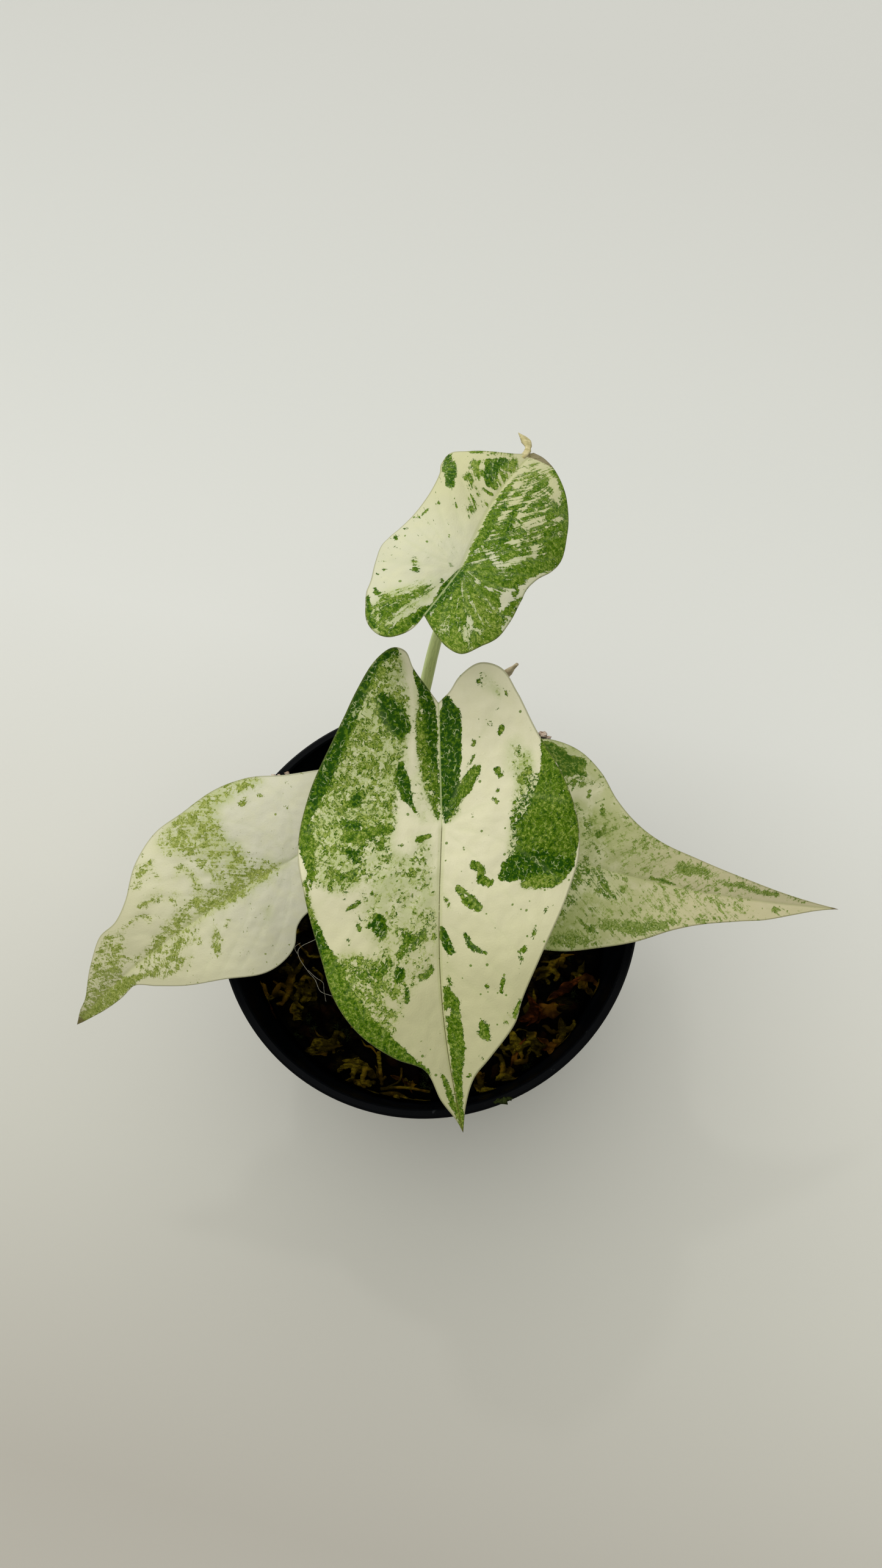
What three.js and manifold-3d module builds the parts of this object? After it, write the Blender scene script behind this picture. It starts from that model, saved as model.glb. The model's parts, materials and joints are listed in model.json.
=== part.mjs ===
// Potted variegated alocasia longiloba: a small aroid with four shield-shaped leaves
// in a thin black plastic nursery pot. Millimetres, +Z up. The origin is the centre
// of the pot's underside, and the camera side of the plant is -Y.

import * as THREE from 'three';
import { mergeVertices } from 'three/addons/utils/BufferGeometryUtils.js';
import Module from 'manifold-3d';

const wasm = await Module();
wasm.setup();

// Driving dimensions of the pot
const POT_HEIGHT = 85;
const RIM_RADIUS = 50;
const BASE_RADIUS = 35;
const WALL = 1.0;
const LIP_WIDTH = 2.0;
const COLLAR_HEIGHT = 11;
const COLLAR_STEP = 1.6;
const OUT_OF_ROUND = 0.0125;
const WIDEST_DIRECTION = 48;
const POT_SIDES = 64;
const DRAIN_HOLES = 8;
const DRAIN_RADIUS = 3;
const DRAIN_CIRCLE = 25;

// Driving dimensions of what fills it
const SOIL_LEVEL = 64;
const SOIL_ROUGHNESS = 1.3;
const CHIPS = 30;
const STRANDS = 8;
const CLEARANCE = 0.3;
const CORM_CENTRE = new THREE.Vector2(-8, 2);
const CORM_RADIUS = 7.6;
const CORM_TOP = 68;
const CORM_DEPTH = 20;

// Driving dimensions of the leaves
const BLADE_THICKNESS = 0.7;
const STEPS_PER_POINT = 2;
const RINGS = 6;
const CREASE_SOFTNESS = 0.8;
const STALK_SIDES = 10;
const STALK_STEPS = 16;
const STALK_FOOT = 62;

// A blade is drawn flat and then bent. "along" runs from the junction with the
// petiole to the tip, "across" is the distance from the midrib, and each margin goes
// from the bottom of the sinus, round its lobe and out to the tip.
// heading: compass direction of the tip in degrees, 0 along +X
// pitch, arch: slope at the junction and how far it bends on the way to the tip
// backArch: how far the lobes bend the other way
// fold, cup: rise of each half at the midrib, and its bend over one half width
// bow, sway, lean: sideways curve of the midrib, of the tip and of the seam to the sinus
const leaves = {
  leaf_front: {
    junction: [3, 2.8, 147],
    front: 68, back: 37, half: 29,
    heading: -84, pitch: -16, arch: -28, backArch: -10, roll: 0, twist: 0,
    fold: [14, 12], cup: [-30, -28], tipFold: 8,
    bow: 3, sway: 1.5, sinus: 25, lean: -1.8,
    wave: 0.8, waveLength: 30, wavePhase: 20,
    right: [[-25, 0], [-28, 1.8], [-32.5, 4.4], [-36, 5.6], [-37, 8], [-35, 11.6], [-29, 16.2],
      [-19, 21.8], [-9.5, 26.6], [1, 29.2], [11, 27.4], [24, 24], [32, 21.8], [40, 17.2],
      [46, 11.2], [50, 5.5], [58, 3.3], [64, 0.9], [67.5, 0]],
    left: [[-25, 0], [-27, -2.4], [-30, -4.8], [-32.3, -9], [-30.8, -13.2], [-25.5, -16],
      [-17.5, -19.7], [-9, -24.4], [0, -27.5], [8, -28.5], [16, -26.2], [26, -21.2], [36, -16.5],
      [41, -14.7], [48, -9], [53, -4.8], [60, -1.9], [67.5, 0]],
    petiole: [[-7.1, -1.2, STALK_FOOT], [-6.6, -2, 85], [-4.2, -0.5, 110], [-0.5, 1.5, 132]],
    petioleRadius: [2.1, 1.25],
  },
  leaf_left: {
    junction: [-31, 3, 116],
    front: 74, back: 25, half: 26,
    heading: -148, pitch: -10, arch: -50, backArch: -8, roll: 14, twist: 10,
    fold: [8, 6], cup: [-30, -34], tipFold: 6,
    bow: 1, sway: 3, sinus: 13, lean: 0,
    wave: 1.2, waveLength: 30, wavePhase: 0,
    right: [[-13, 0], [-17, 2], [-21, 4.5], [-23, 8], [-21, 11], [-16.5, 13.2], [-10, 16.3],
      [-3, 20.3], [4, 22], [13, 21.6], [21, 21.3], [28, 18.2], [34.5, 12.9], [40, 10.6],
      [46, 10.4], [54, 7.2], [64, 2.8], [70, 1.7], [77, 0]],
    left: [[-13, 0], [-17, -2], [-20, -4.5], [-21, -7.5], [-17, -10.2], [-9, -12], [2, -11.8],
      [6, -13.2], [10, -17], [15, -18.7], [20, -18.5], [28, -14.5], [37.5, -10.6], [44, -6.6],
      [49, -3.3], [55, -3.4], [62, -2.8], [70, -1.4], [77, 0]],
    petiole: [[-11.2, 1.1, STALK_FOOT], [-13.6, 1.4, 80], [-19.5, 2, 99]],
    petioleRadius: [2.0, 1.2],
  },
  leaf_right: {
    junction: [23.1, 6.6, 113],
    front: 78, back: 25, half: 26,
    heading: -8, pitch: -4, arch: -30, backArch: -14, roll: -8, twist: 0,
    fold: [8, 10], cup: [-30, -30], tipFold: 16,
    bow: 2.9, sway: -1.8, sinus: 12, lean: 0,
    wave: 0.9, waveLength: 30, wavePhase: 0,
    right: [[-12, 0], [-16, 2.4], [-19.5, 5.5], [-21, 9.5], [-18, 14], [-12, 17.8], [-5, 20.5],
      [3, 21.2], [10, 20.2], [18, 17.4], [26, 14.2], [34, 10], [41, 7.5], [50, 5.6], [57, 4.5],
      [64, 2.8], [72, 1], [79, 0]],
    left: [[-12, 0], [-17, -2.6], [-21, -5.6], [-23, -10], [-20, -15], [-15, -19.5], [-8, -23.5],
      [2, -25.8], [8, -24.9], [13, -21.3], [17, -16], [22, -11.8], [28, -9.1], [38, -7.1],
      [50, -4.8], [62, -2.5], [72, -0.9], [79, 0]],
    petiole: [[-4.8, 2.9, STALK_FOOT], [-1.5, 3.6, 82], [7.5, 5, 101]],
    petioleRadius: [2.0, 1.2],
  },
  leaf_top: {
    junction: [6.9, 48.2, 173],
    front: 36, back: 20, half: 16,
    heading: 66, pitch: -4, arch: -34, backArch: -16, roll: 0, twist: 0,
    fold: [4, 24], cup: [-40, -60], tipFold: 0,
    bow: -0.8, sway: 0.8, sinus: 13, lean: -2.2,
    wave: 0.6, waveLength: 16, wavePhase: 0,
    right: [[-13, 0], [-15.5, 3], [-17.3, 6.5], [-17, 9.5], [-14, 12], [-10, 14], [-5, 14],
      [1, 13.4], [5, 14.7], [10, 17], [15, 18.1], [20, 16.7], [26, 14.2], [30, 11.5],
      [33.5, 7.7], [36.5, 4.2], [38, 2], [38.5, 0]],
    left: [[-13, 0], [-16.5, -0.6], [-19.5, -2], [-21.8, -4], [-22.2, -6], [-20.5, -8.8],
      [-16, -11.2], [-10, -13.4], [-5, -15.8], [-1, -17], [3, -14.9], [8, -13], [13, -12],
      [18, -12.4], [23, -14], [26.5, -13.8], [27.5, -10.5], [30, -6], [33, -3], [36, -1.2],
      [38.5, 0]],
    petiole: [[-8.9, 5.2, STALK_FOOT], [-8.5, 12, 85], [-5.4, 23, 113], [-0.3, 35.6, 142],
      [2.1, 41, 154.5]],
    petioleRadius: [2.1, 1.0],
  },
};

// The dried, hooked tip of the newest leaf, drawn in the same flat coordinates plus a rise
const dryTip = { route: [[34, -1, 0], [38.4, -1.4, 0], [40.6, -2.6, 0.2], [42.2, -5.2, 0.4]], radius: [1.3, 0.35] };

// The withered stalk of a leaf that has died back
const witheredStalk = {
  route: [[-5.1, 7.1, STALK_FOOT], [-3.2, 12, 80], [-1, 20, 94], [4, 31, 107], [11, 39, 117],
    [16.9, 43.5, 124], [19.5, 44.7, 128]],
  radius: [1.3, 0.5],
};

const materials = {
  pot: new THREE.MeshStandardMaterial({ color: 0x17181a, roughness: 0.5, metalness: 0 }),
  substrate: new THREE.MeshStandardMaterial({ color: 0x3a2a16, roughness: 0.95, metalness: 0 }),
  corm: new THREE.MeshStandardMaterial({ color: 0x6b5a3c, roughness: 0.85, metalness: 0 }),
  leaf_front: new THREE.MeshStandardMaterial({ color: 0xc4cf9c, roughness: 0.4, metalness: 0 }),
  leaf_left: new THREE.MeshStandardMaterial({ color: 0xd0d6ae, roughness: 0.4, metalness: 0 }),
  leaf_right: new THREE.MeshStandardMaterial({ color: 0xb4c08c, roughness: 0.4, metalness: 0 }),
  leaf_top: new THREE.MeshStandardMaterial({ color: 0xa9bd7a, roughness: 0.4, metalness: 0 }),
  withered_stalk: new THREE.MeshStandardMaterial({ color: 0xb08a6c, roughness: 0.9, metalness: 0 }),
};

const radians = THREE.MathUtils.degToRad;
const smoothStep = (x) => THREE.MathUtils.smoothstep(x, 0, 1);
const up = new THREE.Vector3(0, 0, 1);

// A bent line: how far it goes and how much it rises over a length
function arcStep(length, startAngle, bend) {
  if (Math.abs(bend) < 1e-6) return [length * Math.cos(startAngle), length * Math.sin(startAngle)];
  const endAngle = startAngle + bend * length;
  return [
    (Math.sin(endAngle) - Math.sin(startAngle)) / bend,
    (Math.cos(startAngle) - Math.cos(endAngle)) / bend,
  ];
}

// Sideways place of the midrib, and behind the junction of the seam to the sinus
function midribOffset(leaf, along) {
  if (along < 0) return leaf.lean * Math.min(-along / leaf.sinus, 1);
  const u = Math.min(along / leaf.front, 1.3);
  return leaf.bow * Math.sin(Math.PI * Math.min(u, 1)) + leaf.sway * u * u;
}

// A point of the blade's middle surface in space, "rise" above it along its own normal
function bladePoint(leaf, along, across, rise = 0) {
  const bend = along >= 0 ? radians(leaf.arch) / leaf.front : -radians(leaf.backArch) / leaf.back;
  const pitch = radians(leaf.pitch);
  const [run, climb] = arcStep(along, pitch, bend);
  const slope = pitch + bend * along;
  const side = across >= 0 ? 0 : 1;
  const reach = Math.abs(across);
  const u = THREE.MathUtils.clamp(along / leaf.front, -1, 1);
  const fold = radians(leaf.fold[side] + leaf.tipFold * smoothStep(u));
  const [out, lift] = arcStep(reach, fold, radians(leaf.cup[side]) / leaf.half);
  const soft = reach / (reach + CREASE_SOFTNESS);
  const phase = radians(leaf.wavePhase) + side * 1.9;
  const ripple = leaf.wave * Math.sin((2 * Math.PI * along) / leaf.waveLength + phase) * smoothStep(reach / leaf.half);
  const heading = radians(leaf.heading);
  const ahead = new THREE.Vector3(Math.cos(heading), Math.sin(heading), 0);
  const aside = new THREE.Vector3(Math.sin(heading), -Math.cos(heading), 0);
  const normal = ahead.clone().multiplyScalar(-Math.sin(slope)).addScaledVector(up, Math.cos(slope));
  const roll = radians(leaf.roll + leaf.twist * u * Math.abs(u));
  const flatAside = aside.clone().multiplyScalar(Math.cos(roll)).addScaledVector(normal, Math.sin(roll));
  const flatNormal = normal.clone().multiplyScalar(Math.cos(roll)).addScaledVector(aside, -Math.sin(roll));
  const outward = side === 0 ? out : -out;
  return new THREE.Vector3(...leaf.junction)
    .addScaledVector(ahead, run)
    .addScaledVector(up, climb)
    .addScaledVector(flatAside, midribOffset(leaf, along) + outward)
    .addScaledVector(flatNormal, lift * soft + ripple + rise);
}

function bladeNormal(leaf, along, across) {
  const h = 0.4;
  const alongStep = bladePoint(leaf, along + h, across).sub(bladePoint(leaf, along - h, across));
  const acrossStep = bladePoint(leaf, along, across + h).sub(bladePoint(leaf, along, across - h));
  return acrossStep.cross(alongStep).normalize();
}

function margin(points) {
  const curve = new THREE.CatmullRomCurve3(points.map(([a, c]) => new THREE.Vector3(a, c, 0)), false, 'centripetal');
  return curve.getPoints(STEPS_PER_POINT * (points.length - 1));
}

function meshGeometry(vertices, triangles) {
  const geometry = new THREE.BufferGeometry();
  geometry.setAttribute('position', new THREE.BufferAttribute(new Float32Array(vertices.flatMap((v) => [v.x, v.y, v.z])), 3));
  geometry.setIndex(triangles.flat());
  return geometry;
}

// Rings of points round the junction, out to the margin, split alike on both faces
function bladeGeometry(leaf) {
  const right = margin(leaf.right);
  const left = margin(leaf.left);
  const rim = [...right, ...left.slice(1, -1).reverse()];
  const vertices = [];
  const half = BLADE_THICKNESS / 2;
  const face = (offset) => {
    const start = vertices.length;
    const place = (along, across) => {
      const point = bladePoint(leaf, along, across);
      vertices.push(point.addScaledVector(bladeNormal(leaf, along, across), offset));
    };
    place(0, 0);
    for (let ring = 1; ring <= RINGS; ring++) {
      for (const m of rim) place((m.x * ring) / RINGS, (m.y * ring) / RINGS);
    }
    return start;
  };
  const top = face(half);
  const bottom = face(-half);
  const count = rim.length;
  const at = (start, ring, i) => start + 1 + (ring - 1) * count + (i % count);
  const triangles = [];
  for (let i = 0; i < count; i++) {
    const next = i + 1;
    triangles.push([top, at(top, 1, i), at(top, 1, next)]);
    triangles.push([bottom, at(bottom, 1, next), at(bottom, 1, i)]);
    for (let ring = 1; ring < RINGS; ring++) {
      triangles.push([at(top, ring, i), at(top, ring + 1, next), at(top, ring, next)]);
      triangles.push([at(top, ring, i), at(top, ring + 1, i), at(top, ring + 1, next)]);
      triangles.push([at(bottom, ring, i), at(bottom, ring, next), at(bottom, ring + 1, next)]);
      triangles.push([at(bottom, ring, i), at(bottom, ring + 1, next), at(bottom, ring + 1, i)]);
    }
    triangles.push([at(top, RINGS, i), at(bottom, RINGS, i), at(bottom, RINGS, next)]);
    triangles.push([at(top, RINGS, i), at(bottom, RINGS, next), at(top, RINGS, next)]);
  }
  return meshGeometry(vertices, triangles);
}

// A round stalk along a curve, tapering from its foot to its end
function stalkGeometry(route, [footRadius, endRadius], sides = STALK_SIDES, steps = STALK_STEPS) {
  const curve = new THREE.CatmullRomCurve3(route.map((p) => new THREE.Vector3(...p)), false, 'centripetal');
  const centres = curve.getSpacedPoints(steps);
  const frames = curve.computeFrenetFrames(steps, false);
  const vertices = [];
  centres.forEach((centre, step) => {
    const radius = THREE.MathUtils.lerp(footRadius, endRadius, step / steps);
    for (let i = 0; i < sides; i++) {
      const angle = (2 * Math.PI * i) / sides;
      vertices.push(centre.clone()
        .addScaledVector(frames.normals[step], radius * Math.cos(angle))
        .addScaledVector(frames.binormals[step], radius * Math.sin(angle)));
    }
  });
  const foot = vertices.push(centres[0]) - 1;
  const end = vertices.push(centres[steps]) - 1;
  const at = (step, i) => step * sides + (i % sides);
  const triangles = [];
  for (let i = 0; i < sides; i++) {
    triangles.push([foot, at(0, i + 1), at(0, i)]);
    triangles.push([end, at(steps, i), at(steps, i + 1)]);
    for (let step = 0; step < steps; step++) {
      triangles.push([at(step, i), at(step, i + 1), at(step + 1, i + 1)]);
      triangles.push([at(step, i), at(step + 1, i + 1), at(step + 1, i)]);
    }
  }
  return meshGeometry(vertices, triangles);
}

function toSolid(geometry) {
  const bare = geometry.clone();
  bare.deleteAttribute('normal');
  bare.deleteAttribute('uv');
  const merged = mergeVertices(bare, 1e-4);
  return new wasm.Manifold(new wasm.Mesh({
    numProp: 3,
    vertProperties: new Float32Array(merged.attributes.position.array),
    triVerts: new Uint32Array(merged.index.array),
  }));
}

const largestBody = (solid) => solid.decompose().reduce((a, b) => (b.volume() > a.volume() ? b : a));

function toMesh(name, solid) {
  const result = solid.getMesh();
  const geometry = new THREE.BufferGeometry();
  geometry.setAttribute('position', new THREE.BufferAttribute(new Float32Array(result.vertProperties), 3));
  geometry.setIndex([...result.triVerts]);
  geometry.computeVertexNormals();
  const mesh = new THREE.Mesh(geometry, materials[name]);
  mesh.name = name;
  return mesh;
}

// The thin pot is squeezed a little out of round, and what fills it follows
const squeeze = (geometry) => geometry
  .rotateZ(-radians(WIDEST_DIRECTION))
  .scale(1 + OUT_OF_ROUND, 1 - OUT_OF_ROUND, 1)
  .rotateZ(radians(WIDEST_DIRECTION));

const lathe = (profile, sides) => new THREE.LatheGeometry(profile.map(([r, z]) => new THREE.Vector2(r, z)), sides)
  .rotateX(Math.PI / 2);

// Pot: a tapered wall, a stepped collar with a flat lip, and a base with drain holes
const collarFoot = POT_HEIGHT - COLLAR_HEIGHT;
const wallTop = RIM_RADIUS - COLLAR_STEP - WALL;

function wallRadius(z) {
  return THREE.MathUtils.lerp(BASE_RADIUS, wallTop, Math.min(z / collarFoot, 1));
}

function buildPot() {
  const collarOuter = RIM_RADIUS - 0.5;
  const profile = [
    [0, 0], [BASE_RADIUS - 1, 0], [BASE_RADIUS, 1.2], [wallTop, collarFoot], [collarOuter - 0.4, collarFoot],
    [collarOuter, POT_HEIGHT - 2], [RIM_RADIUS, POT_HEIGHT - 1.2], [RIM_RADIUS - 0.4, POT_HEIGHT],
    [RIM_RADIUS - LIP_WIDTH, POT_HEIGHT], [RIM_RADIUS - LIP_WIDTH - 0.2, POT_HEIGHT - 1],
    [wallTop - WALL + 0.4, collarFoot + 1], [wallRadius(2) - WALL, 2.2], [wallRadius(2) - WALL - 1, WALL + 0.4],
    [0, WALL + 0.4],
  ];
  let pot = toSolid(squeeze(lathe(profile, POT_SIDES)));
  for (let i = 0; i < DRAIN_HOLES; i++) {
    const angle = (2 * Math.PI * i) / DRAIN_HOLES;
    const hole = new THREE.CylinderGeometry(DRAIN_RADIUS, DRAIN_RADIUS, 6, 12).rotateX(Math.PI / 2)
      .translate(DRAIN_CIRCLE * Math.cos(angle), DRAIN_CIRCLE * Math.sin(angle), 0);
    pot = pot.subtract(toSolid(hole));
  }
  return pot;
}

// Stalks: the four petioles and the withered one, slightly swollen where a hole is cut for them
const junctionOf = (leaf) => bladePoint(leaf, 0, 0).toArray();
const sunk = ([foot, ...rest], extra) => [[foot[0], foot[1], foot[2] - extra], ...rest];
const petioleGeometry = (leaf, extra = 0) => stalkGeometry(
  sunk([...leaf.petiole, junctionOf(leaf)], extra),
  leaf.petioleRadius.map((r) => r + extra),
);

function buildLeaf(leaf) {
  return toSolid(bladeGeometry(leaf)).add(toSolid(petioleGeometry(leaf)));
}

function buildDryTip(leaf) {
  const route = dryTip.route.map(([along, across, rise]) => bladePoint(leaf, along, across, rise).toArray());
  return toSolid(stalkGeometry(route, dryTip.radius, 6, 8));
}

function buildStalkHoles() {
  const stalks = Object.values(leaves).map((leaf) => petioleGeometry(leaf, CLEARANCE));
  stalks.push(stalkGeometry(sunk(witheredStalk.route, CLEARANCE), witheredStalk.radius.map((r) => r + CLEARANCE)));
  return stalks.map(toSolid).reduce((all, stalk) => all.add(stalk));
}

// Corm: the short swollen stem, its top just above the substrate
function cormSolid(extra = 0) {
  const radius = CORM_RADIUS + extra;
  const foot = CORM_TOP - CORM_DEPTH - extra;
  const top = CORM_TOP + extra;
  const profile = [
    [0, foot], [radius * 0.55, foot + 1.5], [radius * 0.9, foot + 6], [radius, foot + 12],
    [radius * 0.94, top - 3], [radius * 0.8, top - 0.6], [0, top],
  ];
  return toSolid(lathe(profile, 24)).translate([CORM_CENTRE.x, CORM_CENTRE.y, 0]);
}

// Substrate: coarse chips and fibres that fill the pot up to SOIL_LEVEL
function seededRandom(seed) {
  let state = seed;
  return () => {
    state = (state * 1664525 + 1013904223) % 4294967296;
    return state / 4294967296;
  };
}

function soilHeight(x, y) {
  const lumps = Math.sin(x * 0.42 + 1) * Math.cos(y * 0.37) + 0.6 * Math.sin(x * 0.9 + y * 0.7 + 2);
  return SOIL_LEVEL + SOIL_ROUGHNESS * lumps - 1.5 * Math.hypot(x, y) / RIM_RADIUS;
}

function soilBed() {
  const sides = 44;
  const rings = 8;
  const edge = wallRadius(SOIL_LEVEL) - WALL - CLEARANCE - 0.5;
  const foot = WALL + 0.4 + CLEARANCE;
  const vertices = [new THREE.Vector3(0, 0, soilHeight(0, 0))];
  for (let ring = 1; ring <= rings; ring++) {
    for (let i = 0; i < sides; i++) {
      const angle = (2 * Math.PI * i) / sides;
      const x = (edge * ring / rings) * Math.cos(angle);
      const y = (edge * ring / rings) * Math.sin(angle);
      vertices.push(new THREE.Vector3(x, y, soilHeight(x, y)));
    }
  }
  const footRadius = wallRadius(foot + 2) - WALL - CLEARANCE - 1.2;
  for (let i = 0; i < sides; i++) {
    const angle = (2 * Math.PI * i) / sides;
    vertices.push(new THREE.Vector3(footRadius * Math.cos(angle), footRadius * Math.sin(angle), foot));
  }
  const footCentre = vertices.push(new THREE.Vector3(0, 0, foot)) - 1;
  const at = (ring, i) => 1 + (ring - 1) * sides + (i % sides);
  const triangles = [];
  for (let i = 0; i < sides; i++) {
    triangles.push([0, at(1, i), at(1, i + 1)]);
    for (let ring = 1; ring <= rings; ring++) {
      triangles.push([at(ring, i), at(ring + 1, i), at(ring + 1, i + 1)]);
      triangles.push([at(ring, i), at(ring + 1, i + 1), at(ring, i + 1)]);
    }
    triangles.push([footCentre, at(rings + 1, i + 1), at(rings + 1, i)]);
  }
  return toSolid(squeeze(meshGeometry(vertices, triangles)));
}

// Bark chips lie at all angles, sunk by half into the bed
function barkChips(random) {
  const chips = [];
  for (let i = 0; i < CHIPS; i++) {
    const angle = 2.4 * i;
    const radius = 9 + 29 * Math.sqrt((i + 0.5) / CHIPS);
    const x = radius * Math.cos(angle);
    const y = radius * Math.sin(angle);
    const length = 7 + 6 * random();
    const width = 3.5 + 3 * random();
    if (Math.hypot(x - CORM_CENTRE.x, y - CORM_CENTRE.y) < CORM_RADIUS + length / 2 + 1) continue;
    const chip = new THREE.CylinderGeometry(width / 2, width / 2 * 0.8, 2.2 + random(), 6)
      .scale(length / width, 1, 1)
      .rotateX(Math.PI / 2 + 0.7 * (random() - 0.5))
      .rotateY(0.9 * (random() - 0.5))
      .rotateZ(2 * Math.PI * random())
      .translate(x, y, soilHeight(x, y) + 0.4);
    chips.push(toSolid(chip));
  }
  return chips;
}

// Fern-root strands arch over the chips with both ends sunk in
function strands(random) {
  const found = [];
  for (let i = 0; i < STRANDS; i++) {
    const angle = -2.9 + 0.55 * i;
    const radius = 24 + 10 * random();
    const turn = angle + Math.PI / 2 + 1.2 * (random() - 0.5);
    const span = 9 + 5 * random();
    const points = [-1, -0.4, 0.3, 1].map((s) => {
      const x = radius * Math.cos(angle) + span * s * Math.cos(turn) + 2 * (random() - 0.5);
      const y = radius * Math.sin(angle) + span * s * Math.sin(turn) + 2 * (random() - 0.5);
      const pull = Math.min(1, 38 / Math.hypot(x, y));
      return [x * pull, y * pull, soilHeight(x, y) + (Math.abs(s) === 1 ? -2.5 : 1.4)];
    });
    found.push(toSolid(stalkGeometry(points, [0.9, 0.7], 5, 8)));
  }
  return found;
}

function buildSubstrate(holes) {
  const random = seededRandom(11);
  const pieces = [...barkChips(random), ...strands(random)];
  const filled = pieces.reduce((all, piece) => all.add(piece), soilBed());
  return largestBody(filled.subtract(cormSolid(CLEARANCE)).subtract(holes));
}

const holes = buildStalkHoles();
const plant = new THREE.Group();
plant.name = 'potted_alocasia';
plant.add(toMesh('pot', buildPot()));
plant.add(toMesh('substrate', buildSubstrate(holes)));
plant.add(toMesh('corm', cormSolid().subtract(holes)));
for (const [name, leaf] of Object.entries(leaves)) {
  const solid = name === 'leaf_top' ? buildLeaf(leaf).add(buildDryTip(leaf)) : buildLeaf(leaf);
  plant.add(toMesh(name, solid));
}
plant.add(toMesh('withered_stalk', toSolid(stalkGeometry(witheredStalk.route, witheredStalk.radius, 8))));

export default plant;
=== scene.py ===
# A young variegated alocasia in a thin black nursery pot, seen almost from above.
# The sections follow the plant as it is put together, from the pot up to the newest leaf.
import json
import math
from functools import partial

import bmesh
import bpy
import numpy as np
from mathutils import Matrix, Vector, noise

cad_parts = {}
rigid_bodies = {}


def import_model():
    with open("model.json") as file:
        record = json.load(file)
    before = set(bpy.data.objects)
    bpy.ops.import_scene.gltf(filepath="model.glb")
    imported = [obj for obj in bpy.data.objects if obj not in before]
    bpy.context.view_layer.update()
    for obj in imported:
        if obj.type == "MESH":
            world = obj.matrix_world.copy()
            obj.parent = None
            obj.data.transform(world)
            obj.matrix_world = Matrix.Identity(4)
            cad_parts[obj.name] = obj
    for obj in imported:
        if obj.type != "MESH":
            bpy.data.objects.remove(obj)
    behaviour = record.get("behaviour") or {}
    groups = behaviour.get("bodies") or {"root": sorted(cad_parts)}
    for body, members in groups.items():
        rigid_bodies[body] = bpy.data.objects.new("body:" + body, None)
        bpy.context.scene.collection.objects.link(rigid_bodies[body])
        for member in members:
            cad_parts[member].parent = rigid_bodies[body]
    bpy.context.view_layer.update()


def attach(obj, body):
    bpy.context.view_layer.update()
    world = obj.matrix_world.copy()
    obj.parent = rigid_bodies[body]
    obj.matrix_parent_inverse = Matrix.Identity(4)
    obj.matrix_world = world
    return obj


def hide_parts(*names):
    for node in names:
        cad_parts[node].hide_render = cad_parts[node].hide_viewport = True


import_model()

# Camera: a phone held over the pot, tilted a little back from straight down.
# The focal length is the photograph's, in pixels of its long side.
PHOTO_LONG_SIDE = 2569
FOCAL_LENGTH_PIXELS = 2620
SENSOR_LONG_SIDE = 36
CAMERA_PLACE = (0.00285, -0.07655, 0.4585)
CAMERA_TILT_DEGREES = 15.87

camera_data = bpy.data.cameras.new("camera")
camera_data.sensor_fit = "AUTO"
camera_data.sensor_width = SENSOR_LONG_SIDE
camera_data.lens = SENSOR_LONG_SIDE * FOCAL_LENGTH_PIXELS / PHOTO_LONG_SIDE
camera = bpy.data.objects.new("camera", camera_data)
camera.location = CAMERA_PLACE
camera.rotation_euler = (math.radians(CAMERA_TILT_DEGREES), 0, 0)
bpy.context.collection.objects.link(camera)
bpy.context.scene.camera = camera

# Light: a very big soft source above and to the left, a weak small one for glints on the
# waxy blades, and pale light from all round. Colours are shown with no film curve.
KEY_DIRECTION = (0.34, -0.42, -1.0)
KEY_SPREAD_DEGREES = 105
KEY_STRENGTH = 3.0
KEY_COLOUR = (1, 0.99, 0.96)
GLINT_PLACE = (-0.16, 0.42, 0.85)
GLINT_AIM = (0, 0, 0.1)
GLINT_SIZE = 0.05
GLINT_WATTS = 0.5
SKY_COLOUR = (0.96, 0.98, 0.96, 1)
SKY_STRENGTH = 0.4

bpy.context.scene.view_settings.view_transform = "Standard"
bpy.context.scene.view_settings.look = "None"


def add_light(name, kind, direction, strength, colour, place=(0, 0, 1)):
    data = bpy.data.lights.new(name, kind)
    data.energy = strength
    data.color = colour
    light = bpy.data.objects.new(name, data)
    light.location = place
    light.rotation_euler = Vector(direction).to_track_quat("-Z", "Y").to_euler()
    bpy.context.collection.objects.link(light)
    return data


key = add_light("key_light", "SUN", KEY_DIRECTION, KEY_STRENGTH, KEY_COLOUR)
key.angle = math.radians(KEY_SPREAD_DEGREES)
glint_direction = Vector(GLINT_AIM) - Vector(GLINT_PLACE)
glint = add_light("glint_light", "AREA", glint_direction, GLINT_WATTS, (1, 1, 1), GLINT_PLACE)
glint.shape = "DISK"
glint.size = GLINT_SIZE
sky = bpy.data.worlds.new("studio")
sky.use_nodes = True
sky_inputs = sky.node_tree.nodes["Background"].inputs
sky_inputs["Color"].default_value = SKY_COLOUR
sky_inputs["Strength"].default_value = SKY_STRENGTH
bpy.context.scene.world = sky


# Floor: a seamless sheet of pale matt card. Its colour is painted fall-off of the light, in bands
# that slant across it: brightest just behind the pot, darker towards the camera and far behind.
FLOOR_HALF_SIZE = 3.0
FLOOR_NEAR, FLOOR_FAR = -0.16, 0.32
FLOOR_SLANT = 0.25
FLOOR_PAINTED_LIGHT = [
    (0.0, (0.355, 0.337, 0.292)), (0.18, (0.465, 0.458, 0.405)), (0.34, (0.535, 0.53, 0.48)),
    (0.52, (0.572, 0.574, 0.54)), (0.7, (0.535, 0.54, 0.508)), (1.0, (0.49, 0.49, 0.46))]


def new_material(name):
    material = bpy.data.materials.new(name)
    material.use_nodes = True
    tree = material.node_tree
    return material, tree, tree.nodes["Principled BSDF"]


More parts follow.
